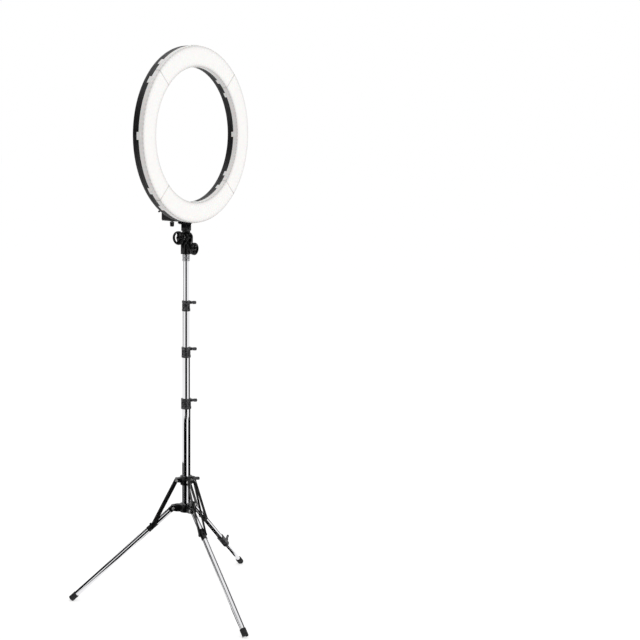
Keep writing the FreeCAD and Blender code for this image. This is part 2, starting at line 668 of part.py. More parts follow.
def knobs():
    """The tilt knob on the left and the socket's lock knob in front."""
    cheek = "(tongue_half + cheek_gap + cheek_thick + washer_thick + wheel_gap)"
    hand_wheel("tilt_knob", "tilt_wheel_od", "tilt_hub_long", (f"-{cheek}", "0", TILT_Z),
               [("Y", "-90")], bore=("tilt_bolt + running_gap", "bolt_in_wheel + 1"))
    face = "(socket_radius + socket_boss_out + wheel_gap)"
    reach = f"{face} - spigot_stud - wheel_gap"
    hand_wheel("lock_knob", "lock_wheel_od", "lock_hub_long",
               ("0", f"-{face}", f"{SOCKET_Z} + lock_z"), [("X", "90"), ("Z", "90")],
               stud=("lock_stud", reach))


def socket_body():
    """The casting over the spigot, with two cheeks for the tilt joint."""
    body = new_body("socket_base", ("0", "0", SOCKET_Z))
    floor = "(tilt_rise - tongue_radius - 0.5)"
    barrel = sketch(body, "socket_barrel", "XY_Plane")
    pad(body, circle(barrel, ("0", "0"), "socket_radius"), floor)
    wide = "(tongue_half + cheek_gap + cheek_thick) * 2"
    neck = sketch(body, "socket_cheek_web", "YZ_Plane")
    rectangle(neck, ("-cheek_radius", f"{floor} - 6"), ("cheek_radius", "tilt_rise"))
    pad(body, neck, wide, Midplane=True)
    disc = sketch(body, "socket_cheek_disc", "YZ_Plane")
    pad(body, circle(disc, ("0", "tilt_rise"), "cheek_radius"), wide, Midplane=True)
    slot = sketch(body, "socket_slot", "XZ_Plane")
    rectangle(slot, ("-tongue_half - cheek_gap", floor),
              ("tongue_half + cheek_gap", "tilt_rise + cheek_radius + 1"))
    pocket(body, slot, Midplane=True)
    cross = sketch(body, "socket_cross_hole", "YZ_Plane")
    pocket(body, circle(cross, ("0", "tilt_rise"), "tilt_bolt + running_gap"), Midplane=True)
    boss = sketch(body, "socket_boss_round", "XZ_Plane", "socket_radius / 2")
    pad(body, circle(boss, ("0", "lock_z"), "socket_boss"), "socket_radius / 2 + socket_boss_out")
    bore = sketch(body, "socket_bore", "XY_Plane")
    pocket(body, circle(bore, ("0", "0"), "spigot_stud + running_gap"),
           "stud_high + 1", Reversed=True)
    hole = sketch(body, "socket_lock_hole", "XZ_Plane", "socket_radius + socket_boss_out + 1")
    pocket(body, circle(hole, ("0", "lock_z"), "lock_stud + running_gap"),
           "socket_radius + socket_boss_out + 1 - spigot_stud / 2")
    node(body, "socket_body")


def spigot():
    """The turned fitting in the top tube: a plug, a flange and the stud above it."""
    body = new_body("spigot_base", ("0", "0", SPIGOT_Z))
    plug = "tube_4_od / 2 - tube_wall - seat_gap"
    high = "spigot_high"
    shape = sketch(body, "spigot_profile", "XZ_Plane")
    outline(shape, [
        ("0", "-spigot_plug_long"), (plug, "-spigot_plug_long"), (plug, "0"),
        ("spigot_flange", "0"), ("spigot_flange", f"{high} / 2 - spigot_groove_high / 2"),
        ("spigot_flange - spigot_groove", f"{high} / 2 - spigot_groove_high / 2"),
        ("spigot_flange - spigot_groove", f"{high} / 2 + spigot_groove_high / 2"),
        ("spigot_flange", f"{high} / 2 + spigot_groove_high / 2"), ("spigot_flange", high),
        ("spigot_stud", high), ("spigot_stud", f"{high} + stud_high - 1.5"),
        ("spigot_stud - 1.5", f"{high} + stud_high"), ("0", f"{high} + stud_high")])
    revolve(body, shape)
    node(body, "spigot")


# ---------------------------------------------------------------- mast

TUBES = ("tube_1_od", "tube_2_od", "tube_3_od", "tube_4_od")


def tube(name, outer, low, high, wall="tube_wall"):
    """An upright tube between two heights."""
    skin = cylinder(f"{name}_skin", f"{outer} / 2", f"({high}) - ({low})")
    hole = cylinder(f"{name}_hole", f"{outer} / 2 - {wall}", f"({high}) - ({low}) + 2",
                    ("0", "0", "-1"))
    node(place(cut(f"{name}_cut", skin, hole), ("0", "0", low)), name)


def mast_tubes():
    """Four nested tubes. Each reaches its own length down inside the one below."""
    seat = "(clamp_high - clamp_top)"
    tube("main_tube", TUBES[0], f"{HUB_Z} - hub_below + plug_thick", f"{CLAMP_Z[0]} + {seat}")
    tube("tube_2", TUBES[1], f"{CLAMP_Z[0]} + {seat} - inside_1", f"{CLAMP_Z[1]} + {seat}")
    tube("tube_3", TUBES[2], f"{CLAMP_Z[1]} + {seat} - inside_2", f"{CLAMP_Z[2]} + {seat}")
    tube("tube_4", TUBES[3], f"{CLAMP_Z[2]} + {seat} - inside_3", SPIGOT_Z)


def clamp(index):
    """A tube clamp: flanges at both ends, a boss for its wing screw and a stepped bore."""
    outer, inner = TUBES[index], TUBES[index + 1]
    face = f"({outer} / 2 + clamp_wall)"
    waist = f"{face} - clamp_waist"
    body = new_body(f"clamp_body_{index}", ("0", "0", CLAMP_Z[index]), ("Z", "wing_azimuth"))
    shape = sketch(body, f"clamp_profile_{index}", "XZ_Plane")
    outline(shape, [
        ("0", "0"), (face, "0"), (face, "flange_high"), (waist, "flange_high + clamp_waist"),
        (waist, "clamp_high - flange_high - clamp_waist"), (face, "clamp_high - flange_high"),
        (face, "clamp_high"), ("0", "clamp_high")])
    revolve(body, shape)
    boss = sketch(body, f"clamp_boss_{index}", "YZ_Plane", f"{outer} / 2")
    spot = ("0", "clamp_high - grip_drop")
    pad(body, circle(boss, spot, "clamp_boss"), "clamp_wall + clamp_boss_out")
    seat = sketch(body, f"clamp_seat_{index}", "XY_Plane")
    pocket(body, circle(seat, ("0", "0"), f"{outer} / 2 + seat_gap"),
           "clamp_high - clamp_top", Reversed=True)
    throat = sketch(body, f"clamp_throat_{index}", "XY_Plane")
    pocket(body, circle(throat, ("0", "0"), f"{inner} / 2 + tube_gap"), Reversed=True)
    hole = sketch(body, f"clamp_hole_{index}", "YZ_Plane", f"{inner} / 2 - 1")
    pocket(body, circle(hole, spot, "wing_stud + running_gap"), Reversed=True)
    node(body, f"clamp_{index + 1}")


def wing_screw(name, tube_radius, boss_face, long, at, *turns):
    """A wing screw whose Z points out of its boss: stud, shoulder and flat wing."""
    start = f"({boss_face} + wing_gap)"
    inner = f"({tube_radius} + tube_gap)"
    stud = cylinder(f"{name}_stud", "wing_stud", f"{start} - {inner} + 1", ("0", "0", inner))
    shoulder = cone(f"{name}_shoulder", "wing_high / 2", "wing_thick / 2", "4", ("0", "0", start))
    blade = box(f"{name}_blade", ("-wing_high / 2", "-wing_thick / 2", start),
                ("wing_high / 2", "wing_thick / 2", f"{start} + {long}"))
    far = number(f"{start} + {long}")

    def tip_corner(edge):
        return runs_along(edge, 1) and edge.BoundBox.ZMax > far - 0.01

    wing = rounded(f"{name}_wing", blade, "wing_round", tip_corner)
    node(place(fuse(f"{name}_fused", stud, shoulder, wing), at, *turns), name)


def clamp_screws():
    for index in range(3):
        height = f"{CLAMP_Z[index]} + clamp_high - grip_drop"
        face = f"({TUBES[index]} / 2 + clamp_wall + clamp_boss_out)"
        wing_screw(f"clamp_screw_{index + 1}", f"{TUBES[index + 1]} / 2", face, "wing_long",
                   ("0", "0", height), ("Z", "wing_azimuth"), ("Y", "90"), ("Z", "90"))


# ---------------------------------------------------------------- tripod

def azimuth(leg):
    return f"(leg_azimuth + {120 * leg})"


def hub():
    """The lower casting: a sleeve on the main tube with three slotted ears."""
    body = new_body("hub_body", ("0", "0", HUB_Z), ("Z", "leg_azimuth"))
    sleeve = sketch(body, "hub_sleeve", "XY_Plane", "-hub_below")
    pad(body, circle(sleeve, ("0", "0"), "hub_radius"), "hub_below + hub_above")
    width = "tongue_thick + (tongue_gap + ear_thick) * 2"
    web = sketch(body, "hub_web", "XZ_Plane")
    outline(web, [
        ("hub_radius / 2", "-ear_low"), ("ear_root", "-ear_low"), ("hub_pivot_r", "-ear_round"),
        ("hub_pivot_r", "ear_round"), ("ear_root", "ear_shoulder"), ("ear_root", "ear_high"),
        ("hub_radius / 2", "ear_high")])
    webs = pad(body, web, width, Midplane=True)
    eye = sketch(body, "hub_eye", "XZ_Plane")
    eyes = pad(body, circle(eye, ("hub_pivot_r", "0"), "ear_round"), width, Midplane=True)
    slot = sketch(body, "hub_slot", "XZ_Plane")
    rectangle(slot, ("hub_pivot_r - slot_back", "-ear_low - 1"),
              ("hub_pivot_r + ear_round + 1", "ear_high + 1"))
    slots = pocket(body, slot, "tongue_thick + tongue_gap * 2", Midplane=True)
    hole = sketch(body, "hub_pin_hole", "XZ_Plane")
    holes = pocket(body, circle(hole, ("hub_pivot_r", "0"), "pin_radius + running_gap"),
                   Midplane=True)
    around(body, [webs, eyes, slots, holes], LEG_COUNT)
    seat = sketch(body, "hub_bore", "XY_Plane", "-hub_below")
    pocket(body, circle(seat, ("0", "0"), "tube_1_od / 2 + seat_gap"), Reversed=True)
    node(body, "hub")


def hub_plug():
    """The cap that closes the main tube's foot."""
    low = f"{HUB_Z} - hub_below"
    disc = cylinder("plug_disc", "tube_1_od / 2", "plug_thick", ("0", "0", low))
    stem = cylinder("plug_stem", "tube_1_od / 2 - tube_wall - seat_gap", "plug_thick * 3",
                    ("0", "0", low))
    hollow = cylinder("plug_hollow", "tube_1_od / 2 - tube_wall * 3", "plug_thick * 3",
                      ("0", "0", f"{low} + plug_thick / 2"))
    node(cut("plug_cut", fuse("plug_solid", disc, stem), hollow), "hub_plug")


def pins(name, radius, height, half):
    """Three headed pins, one across each leg's plane."""
    items = []
    for leg in range(LEG_COUNT):
        parts = (
            cylinder(f"{name}_shank_{leg}", "pin_radius", f"({half}) * 2",
                     (radius, f"{half}", "0"), ("X", "90")),
            cylinder(f"{name}_head_{leg}", "pin_head", "pin_head_thick",
                     (radius, f"-({half})", "0"), ("X", "90")),
            cylinder(f"{name}_tail_{leg}", "pin_head", "pin_head_thick",
                     (radius, f"{half} + pin_head_thick", "0"), ("X", "90")))
        pin = fuse(f"{name}_pin_{leg}", *parts)
        items.append(place(pin, ("0", "0", height), ("Z", azimuth(leg))))
    node(group(f"{name}_group", items), name)


def collar():
    """The sliding casting that the braces hang from."""
    body = new_body("collar_body", ("0", "0", COLLAR_Z), ("Z", "leg_azimuth"))
    sleeve = sketch(body, "collar_sleeve", "XY_Plane", "-collar_below")
    pad(body, circle(sleeve, ("0", "0"), "collar_radius"), "collar_below + collar_above")
    lug = sketch(body, "collar_lug", "XZ_Plane")
    outline(lug, [
        ("collar_radius / 2", "-lug_root"), ("collar_pivot_r", "-lug_round"),
        ("collar_pivot_r", "lug_round"), ("collar_radius / 2", "lug_root")])
    lugs = pad(body, lug, "lug_half * 2", Midplane=True)
    eye = sketch(body, "collar_eye", "XZ_Plane")
    eyes = pad(body, circle(eye, ("collar_pivot_r", "0"), "lug_round"), "lug_half * 2",
               Midplane=True)
    hole = sketch(body, "collar_pin_hole", "XZ_Plane")
    holes = pocket(body, circle(hole, ("collar_pivot_r", "0"), "pin_radius + running_gap"),
                   Midplane=True)
    around(body, [lugs, eyes, holes], LEG_COUNT)
    boss = sketch(body, "collar_boss", "YZ_Plane", "0", "-60")
    pad(body, circle(boss, ("0", "collar_boss_z"), "clamp_boss + 1"),
        "collar_radius + clamp_boss_out")
    bore = sketch(body, "collar_bore", "XY_Plane", "-collar_below")
    pocket(body, circle(bore, ("0", "0"), "tube_1_od / 2 + tube_gap"), Reversed=True)
    screw = sketch(body, "collar_screw_hole", "YZ_Plane", "0", "-60")
    pocket(body, circle(screw, ("0", "collar_boss_z"), "wing_stud + running_gap"), Reversed=True)
    node(body, "collar")


def collar_screw():
    wing_screw("collar_screw", "tube_1_od / 2", "(collar_radius + clamp_boss_out)",
               "collar_wing_long", ("0", "0", f"{COLLAR_Z} + collar_boss_z"),
               ("Z", "leg_azimuth - 60"), ("Y", "90"), ("Z", "90"))


def leg_frame(leg):
    """The hub pivot of a leg, with X along the leg and Z up and outwards."""
    spin = azimuth(leg)
    at = (f"hub_pivot_r * cos{spin}", f"hub_pivot_r * sin{spin}", HUB_Z)
    return at, ("Z", spin), ("Y", "leg_angle")


def sleeve(name, bore, skin, start, long):
    """A straight ring along the leg's X."""
    outer = cylinder(f"{name}_skin", skin, long, (start, "0", "0"), ("Y", "90"))
    inner = cylinder(f"{name}_hole", bore, f"{long} + 2", (f"{start} - 1", "0", "0"), ("Y", "90"))
    return cut(f"{name}_ring", outer, inner)


def leg_tube(leg):
    """The polished tube. The levelling leg's stops inside its clamp."""
    end = f"({FOOT_S} - foot_tip)"
    if leg == LEVEL_LEG:
        end = "(level_clamp_start + level_clamp_long - level_seat)"
    ring = sleeve(f"leg_tube_{leg}", "leg_od / 2 - tube_wall", "leg_od / 2", "leg_start",
                  f"{end} - leg_start")
    node(place(ring, *leg_frame(leg)), f"leg_tube_{leg + 1}")


def leg_end(leg):
    """The fitting that turns between the hub's ears, plugged into the tube."""
    eye = cylinder(f"end_eye_{leg}", "ear_round", "tongue_thick",
                   ("0", "tongue_thick / 2", "0"), ("X", "90"))
    bar = box(f"end_bar_{leg}", ("0", "-tongue_thick / 2", "-ear_round"),
              ("leg_start", "tongue_thick / 2", "ear_round"))
    plug = cylinder(f"end_plug_{leg}", "leg_od / 2 - tube_wall - seat_gap", "leg_plug",
                    ("leg_start - 1", "0", "0"), ("Y", "90"))
    hole = cylinder(f"end_hole_{leg}", "pin_radius + running_gap", "tongue_thick + 2",
                    ("0", "tongue_thick / 2 + 1", "0"), ("X", "90"))
    solid = cut(f"end_cut_{leg}", fuse(f"end_solid_{leg}", eye, bar, plug), hole)
    node(place(solid, *leg_frame(leg)), f"leg_end_{leg + 1}")


def brace_sleeve(leg):
    """The pressed sleeve that carries the brace's rivets, with a stud on top."""
    ring = sleeve(f"brace_sleeve_{leg}", "leg_od / 2 + seat_gap", "leg_od / 2 + sleeve_wall",
                  "junction - sleeve_long / 2", "sleeve_long")
    base = "leg_od / 2 + seat_gap"
    stud = cylinder(f"sleeve_stud_{leg}", "sleeve_stud", "sleeve_stud_high",
                    ("junction", "0", base))
    joined = fuse(f"sleeve_fused_{leg}", ring, stud)
    node(place(joined, *leg_frame(leg)), f"brace_sleeve_{leg + 1}")


def foot(leg):
    """A rubber cap on the tube's end, cut flat where it meets the floor."""
    tube_radius = "level_tube_od / 2" if leg == LEVEL_LEG else "leg_od / 2"
    cap = cylinder(f"foot_cap_{leg}", "foot_radius", "foot_long",
                   (f"{FOOT_S} - foot_long", "0", "0"), ("Y", "90"))
    hole = cylinder(f"foot_hole_{leg}", f"{tube_radius} + seat_gap", "foot_long",
                    (f"{FOOT_S} - foot_long - foot_tip", "0", "0"), ("Y", "90"))
    soft = rounded(f"foot_soft_{leg}", cap, "sleeve_wall", lambda edge: is_end(edge, "foot_radius"))
    shell = place(cut(f"foot_shell_{leg}", soft, hole), *leg_frame(leg))
    floor = box(f"foot_floor_{leg}", ("-leg_reach * 2", "-leg_reach * 2", "-foot_radius * 4"),
                ("leg_reach * 2", "leg_reach * 2", "0"))
    node(cut(f"foot_cut_{leg}", shell, floor), f"foot_{leg + 1}")


def is_end(edge, radius):
    """Whether the edge is a circle of the given radius."""
    return isinstance(edge.Curve, Part.Circle) and abs(edge.Curve.Radius - number(radius)) < 0.01


def levelling_leg():
    """The clamp, wing screw and inner tube that make one leg longer or shorter."""
    frame = leg_frame(LEVEL_LEG)
    start, long = "level_clamp_start", "level_clamp_long"
    skin = "(leg_od / 2 + level_clamp_wall)"
    end = f"({start} + {long})"
    screw_s = f"({end} - level_seat / 2)"
    outer = cylinder("level_skin", skin, long, (start, "0", "0"), ("Y", "90"))
    boss = cylinder("level_boss", "clamp_boss + 1", f"{skin} + clamp_boss_out", (screw_s, "0", "0"))
    seat = cylinder("level_seat_hole", "leg_od / 2 + seat_gap", f"{long} - level_seat + 1",
                    (f"{start} - 1", "0", "0"), ("Y", "90"))
    throat = cylinder("level_throat", "level_tube_od / 2 + tube_gap", f"{long} + 2",
                      (f"{start} - 1", "0", "0"), ("Y", "90"))
    hole = cylinder("level_screw_hole", "wing_stud + running_gap", f"{skin} + 6",
                    (screw_s, "0", "0"))
    clamp_shape = cut("level_cut", fuse("level_solid", outer, boss), seat, throat, hole)
    node(place(clamp_shape, *frame), "level_clamp")
    inner = sleeve("level_tube", "level_tube_od / 2 - tube_wall", "level_tube_od / 2",
                   "level_tube_start", f"{FOOT_S} - foot_tip - level_tube_start")
    node(place(inner, *frame), "level_tube")
    at, spin, tip = frame
    along = f"{screw_s} * cos(leg_angle) + hub_pivot_r"
    spot = (f"({along}) * cos{azimuth(LEVEL_LEG)}", f"({along}) * sin{azimuth(LEVEL_LEG)}",
            f"{at[2]} - {screw_s} * sin(leg_angle)")
    wing_screw("level_screw", "level_tube_od / 2", f"({skin} + clamp_boss_out)", "wing_long",
               spot, spin, tip, ("Z", "90"))


def brace(leg):
    """Two flat bars from the collar to the leg, with the rivets at their foot."""
    spin = azimuth(leg)
    parts = []
    for side, near in (("left", "brace_inner"), ("right", "-brace_inner - brace_thick")):
        name = f"{side}_{leg}"
        bar = box(f"bar_{name}", ("0", near, "-brace_half"),
                  ("brace_long", f"{near} + brace_thick", "brace_half"))
        ends = [cylinder(f"bar_end_{name}_{n}", "brace_half", "brace_thick",
                         (x, f"{near} + brace_thick", "0"), ("X", "90"))
                for n, x in enumerate(("0", "brace_long"))]
        hole = cylinder(f"bar_hole_{name}", "pin_radius + running_gap", "brace_thick + 2",
                        ("0", f"{near} + brace_thick + 1", "0"), ("X", "90"))
        start = f"{near} + brace_thick + pin_head_thick" if side == "left" else near
        head = cylinder(f"rivet_{name}", "pin_head", "pin_head_thick",
                        ("brace_long", start, "0"), ("X", "90"))
        parts.append(fuse(f"bar_riveted_{name}", cut(f"bar_cut_{name}",
                          fuse(f"bar_solid_{name}", bar, *ends), hole), head))
    at = (f"collar_pivot_r * cos{spin}", f"collar_pivot_r * sin{spin}", COLLAR_Z)
    pair = place(group(f"brace_pair_{leg}", parts), at, ("Z", spin), ("Y", BRACE_ANGLE))
    node(pair, f"brace_{leg + 1}")


# ---------------------------------------------------------------- the whole part

def build_parts():
    for make in (ring_housing, led_board, led_packages, housing_screws, control_box,
                 control_box_cover, cover_screws, driver_board, dimmer, toggle_switch,
                 power_inlet, mount_plate, bracket_screws, tilt_neck, tilt_bolt, knobs,
                 socket_body, spigot, mast_tubes, clamp_screws, hub, hub_plug, collar,
                 collar_screw, levelling_leg):
        make()
    for index in range(4):
        diffuser(index)
    for index in range(3):
        clamp(index)
    for leg in range(LEG_COUNT):
        for make in (leg_tube, leg_end, brace_sleeve, foot, brace):
            make(leg)
    ears = "(tongue_thick / 2 + tongue_gap + ear_thick)"
    pins("hub_pins", "hub_pivot_r", HUB_Z, ears)
    pins("collar_pins", "collar_pivot_r", COLLAR_Z, "(brace_inner + brace_thick + tongue_gap)")


def write_parts():
    """Check every object, then write each sub-part's own file."""
    doc.recompute()
    bad = [item.Name for item in doc.Objects if {"Invalid", "Error"} & set(item.State)]
    bad += [item.Label for item in nodes if item.Shape.isNull() or not item.Shape.isValid()]
    if bad:
        raise ValueError(f"failed objects: {bad}")
    os.makedirs("parts", exist_ok=True)
    for item in nodes:
        item.Shape.exportStep(f"parts/{item.Label}.step")
    print(len(nodes), "parts written")


fill_sheet()
build_parts()
write_parts()
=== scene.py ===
"""Ring light on a chromed light stand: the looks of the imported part, and its studio."""
import json
import math

import bmesh
import bpy
from mathutils import Matrix, Vector


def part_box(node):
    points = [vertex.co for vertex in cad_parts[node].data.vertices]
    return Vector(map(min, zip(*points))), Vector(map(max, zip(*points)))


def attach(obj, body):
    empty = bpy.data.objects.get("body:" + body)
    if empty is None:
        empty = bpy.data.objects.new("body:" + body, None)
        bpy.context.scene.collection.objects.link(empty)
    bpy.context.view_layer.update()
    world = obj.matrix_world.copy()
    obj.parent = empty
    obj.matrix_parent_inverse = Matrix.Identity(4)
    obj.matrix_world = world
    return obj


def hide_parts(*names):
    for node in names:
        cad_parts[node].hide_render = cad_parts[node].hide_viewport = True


bl_info = {
    "name": "Ring Light Looks",
    "version": (1, 0, 0),
    "blender": (4, 5, 0),
    "location": "View3D > Sidebar > Ring Light",
    "description": "Builds the finished ring light and stand around its packed frame",
    "category": "Add Mesh",
}

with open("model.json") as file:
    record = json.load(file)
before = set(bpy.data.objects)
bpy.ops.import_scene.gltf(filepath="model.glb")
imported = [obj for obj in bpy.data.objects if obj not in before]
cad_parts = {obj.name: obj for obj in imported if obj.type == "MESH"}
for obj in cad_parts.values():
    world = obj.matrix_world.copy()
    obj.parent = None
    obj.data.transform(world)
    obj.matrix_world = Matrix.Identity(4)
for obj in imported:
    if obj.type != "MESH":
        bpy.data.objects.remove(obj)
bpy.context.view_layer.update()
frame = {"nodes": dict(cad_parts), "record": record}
JOINTS = {joint["name"]: joint for joint in frame["record"]["behaviour"]["joints"]}
MM = 0.001
UP = Vector((0, 0, 1))
LEGS = (1, 2, 3)


def joint_place(name):
    """Where a joint's axis passes at rest."""
    return Vector(JOINTS[name]["pos_m"])


def joint_axis(name):
    """The way a joint's axis points, as a unit vector."""
    return Vector(JOINTS[name]["axis"]).normalized()


# ---------------------------------------------------------------- sizes and colours

def length(name, about, default):
    """A length property, in metres."""
    return bpy.props.FloatProperty(name=name, description=about, default=default, unit="LENGTH")


def shade(name, about, default):
    """A colour property, kept as an sRGB hex value."""
    return bpy.props.StringProperty(name=name, description=about, default=default)


class RingLightSizes(bpy.types.PropertyGroup):
    """Sizes of the details that the frame doesn't hold."""

    edge_round: length("Edge round", "Radius broken on moulded and cast edges", 0.0005)
    fine_round: length("Fine round", "Radius broken on small hardware", 0.0002)
    rib_high: length("Rib height", "How far the ribs stand on the housing's back", 0.0006)
    foot_ridge: length("Foot ridge", "Distance between the grooves of a rubber foot", 0.0034)
    grain: length("Grain", "Size of the texture on moulded black plastic", 0.0009)
    back_ribs: bpy.props.IntProperty(
        name="Back ribs", description="Ribs around the housing's back", default=72)
    led_columns: bpy.props.IntProperty(
        name="LED columns", description="Light sources around the ring", default=60)
    led_rows: bpy.props.IntProperty(
        name="LED rows", description="Light sources across the ring", default=3)


class RingLightColours(bpy.types.PropertyGroup):
    """Colours as sRGB hex values."""

    housing: shade("Housing", "Moulded black plastic", "#1c1b1d")
    gloss_black: shade("Gloss black", "Injection-moulded knobs", "#0b0b0c")
    diffuser: shade("Diffuser", "Opal sheet over the lights", "#f4f3f1")
    casting: shade("Casting", "Dark painted die casting", "#2b2b2c")
    black_paint: shade("Black paint", "Powder coat on the bracket and hub", "#101011")
    wing: shade("Wing", "Lacquered die-cast wings", "#6a6a6d")
    brace: shade("Brace", "Painted flat steel", "#151515")
    chrome: shade("Chrome", "Plated tube", "#ececee")
    alloy: shade("Alloy", "Turned aluminium", "#d2d2d4")
    zinc: shade("Zinc", "Plated screws and pins", "#dcdcda")
    oxide: shade("Black oxide", "Blackened screws", "#2a2a2c")
    rubber: shade("Rubber", "Moulded feet", "#2c2c2d")
    board: shade("Board", "White solder mask", "#e6e7e2")
    phosphor: shade("Phosphor", "Yellow filling of the light sources", "#e2c25a")
    mask_green: shade("Green mask", "Solder mask of the driver board", "#1f5a36")


def sizes():
    return bpy.context.scene.ring_light_sizes


def colours():
    return bpy.context.scene.ring_light_colours


# ---------------------------------------------------------------- materials

def linear(hex_colour):
    """An sRGB hex value as linear RGBA."""
    channels = [int(hex_colour[n:n + 2], 16) / 255 for n in (1, 3, 5)]
    return (*[c / 12.92 if c <= 0.04045 else ((c + 0.055) / 1.055) ** 2.4 for c in channels], 1)


def add(tree, kind, links=(), **settings):
    """Add a node. Settings are its properties or its inputs; links are (input, source socket)."""
    node = tree.nodes.new(kind)
    for key, value in settings.items():
        if hasattr(node, key):
            setattr(node, key, value)
        else:
            node.inputs[key.replace("_", " ")].default_value = value
    for key, source in links:
        tree.links.new(source, node.inputs[key])
    return node


def new_material(name, colour, **surface):
    """A material with its principled shader, whose steady values are set on its own sockets."""
    material = bpy.data.materials.new(name)
    material.use_nodes = True
    tree = material.node_tree
    shader = tree.nodes["Principled BSDF"]
    shader.inputs["Base Color"].default_value = colour
    for key, value in surface.items():
        shader.inputs[key.replace("_", " ")].default_value = value
    return material, tree, shader


def noise(tree, place, scale, detail=2.0, **settings):
    """A noise in the object's own metres."""
    texture = add(tree, "ShaderNodeTexNoise", [("Vector", place.outputs["Object"])],
                  Scale=scale, Detail=detail, **settings)
    return texture.outputs["Fac"]


def two_tones(tree, shader, amount, *stops):
    """Base colour between two (position, colour) stops, by an amount from 0 to 1."""
    ramp = add(tree, "ShaderNodeValToRGB", [("Fac", amount)])
    for element, (position, colour) in zip(ramp.color_ramp.elements, stops):
        element.position, element.color = position, colour
    tree.links.new(ramp.outputs["Color"], shader.inputs["Base Color"])


def scaled(colour, share):
    """A linear colour times a share, no lighter than pale grey."""
    return (*[min(channel * share, max(channel, 0.6)) for channel in colour[:3]], 1)


def mottled(tree, shader, colour, darker, scale):
    """Let the base colour drift a little, towards a darker tone of itself."""
    place = add(tree, "ShaderNodeTexCoord")
    two_tones(tree, shader, noise(tree, place, scale, 4.0),
              (0.35, scaled(colour, darker)), (0.7, colour))
    return place


def rough_between(tree, shader, place, low, high, scale):
    """Vary the roughness between two values over patches."""
    spread = add(tree, "ShaderNodeMapRange", [("Value", noise(tree, place, scale, 3.0))],
                 From_Min=0.3, From_Max=0.7, To_Min=low, To_Max=high)
    tree.links.new(spread.outputs["Result"], shader.inputs["Roughness"])


def bumped(tree, shader, height, distance, strength=1.0):
    """Raise the surface by a height that runs from 0 to 1."""
    bump = add(tree, "ShaderNodeBump", [("Height", height)], Distance=distance, Strength=strength)
    tree.links.new(bump.outputs["Normal"], shader.inputs["Normal"])


def moulded_abs():
    """Spark-eroded ABS: a fine leathery grain that turns gloss into a soft grey sheen."""
    tone = linear(colours().housing)
    material, tree, shader = new_material("abs_spark_grained", tone, IOR=1.54,
                                          Specular_IOR_Level=0.35)
    place = mottled(tree, shader, tone, 0.8, 14.0)
    rough_between(tree, shader, place, 0.42, 0.56, 60.0)
    grain = add(tree, "ShaderNodeTexVoronoi", [("Vector", place.outputs["Object"])],
                Scale=1 / sizes().grain)
    bumped(tree, shader, grain.outputs["Distance"], 0.00008, 0.5)
    return material


def polished_abs():
    """ABS from a polished mould: deep black with sharp highlights and faint flow waves."""
    tone = linear(colours().gloss_black)
    material, tree, shader = new_material("abs_polished", tone, IOR=1.54,
                                          Specular_IOR_Level=0.35)
    place = mottled(tree, shader, tone, 0.8, 40.0)
    rough_between(tree, shader, place, 0.08, 0.16, 90.0)
    bumped(tree, shader, noise(tree, place, 220.0), 0.00003, 0.5)
    return material


def powder_coat(name, tone_name, low=0.2, high=0.3):
    """Powder coat on a die casting: a faint orange peel that breaks the highlights."""
    tone = linear(getattr(colours(), tone_name))
    material, tree, shader = new_material(name, tone, IOR=1.5, Specular_IOR_Level=0.35)
    place = mottled(tree, shader, tone, 0.72, 60.0)
    rough_between(tree, shader, place, low, high, 120.0)
    bumped(tree, shader, noise(tree, place, 900.0), 0.00006, 0.6)
    return material


def tumbled_casting():
    """Painted zinc casting with worn edges: mottled dark grey with small bright rubs."""
    tone = linear(colours().casting)
    material, tree, shader = new_material("zinc_casting_painted", tone, IOR=1.5, Metallic=0.3)
    place = add(tree, "ShaderNodeTexCoord")
    patches = noise(tree, place, 260.0, 5.0, Roughness=0.65)
    two_tones(tree, shader, patches, (0.42, scaled(tone, 0.35)), (0.66, scaled(tone, 8)))
    rough_between(tree, shader, place, 0.22, 0.42, 150.0)
    bumped(tree, shader, patches, 0.00015, 0.7)
    return material


def plated(name, tone_name, low, high, line_scale):
    """Bright plating: a mirror with fine drawing lines along it and faint cloudy patches."""
    tone = linear(getattr(colours(), tone_name))
    material, tree, shader = new_material(name, tone, Metallic=1.0)
    place = mottled(tree, shader, tone, 0.93, 9.0)
    rough_between(tree, shader, place, low, high, 26.0)
    bumped(tree, shader, noise(tree, place, line_scale), 0.000004, 0.4)
    return material


def turned_metal(name, tone_name, roughness, pitch):
    """Lathe-turned metal: close rings around the axis that smear the highlight."""
    tone = linear(getattr(colours(), tone_name))
    material, tree, shader = new_material(name, tone, Metallic=1.0, Anisotropic=0.5)
    place = mottled(tree, shader, tone, 0.85, 50.0)
    rough_between(tree, shader, place, roughness * 0.8, roughness * 1.3, 80.0)
    rings = add(tree, "ShaderNodeTexWave", [("Vector", place.outputs["Object"])],
                wave_type="BANDS", bands_direction="Z", Scale=1 / pitch / 6.3, Distortion=0.6)
    bumped(tree, shader, rings.outputs["Fac"], 0.00001, 0.5)
    return material


def moulded_rubber():
    """Natural rubber: a dull, slightly dusty black that hardly reflects."""
    tone = linear(colours().rubber)
    material, tree, shader = new_material("rubber_moulded", tone, IOR=1.52, Roughness=0.75)
    place = mottled(tree, shader, tone, 0.6, 90.0)
    rough_between(tree, shader, place, 0.6, 0.8, 70.0)
    bumped(tree, shader, noise(tree, place, 1400.0, 3.0), 0.0001, 0.5)
    return material


def solder_mask(name, tone_name):
    """Solder mask over copper: smooth lacquer with the tracks faintly raised."""
    tone = linear(getattr(colours(), tone_name))
    material, tree, shader = new_material(name, tone, IOR=1.5, Roughness=0.35)
    place = mottled(tree, shader, tone, 0.85, 120.0)
    tracks = add(tree, "ShaderNodeTexBrick", [("Vector", place.outputs["Object"])], Scale=90.0)
    bumped(tree, shader, tracks.outputs["Fac"], 0.00005, 0.5)
    return material


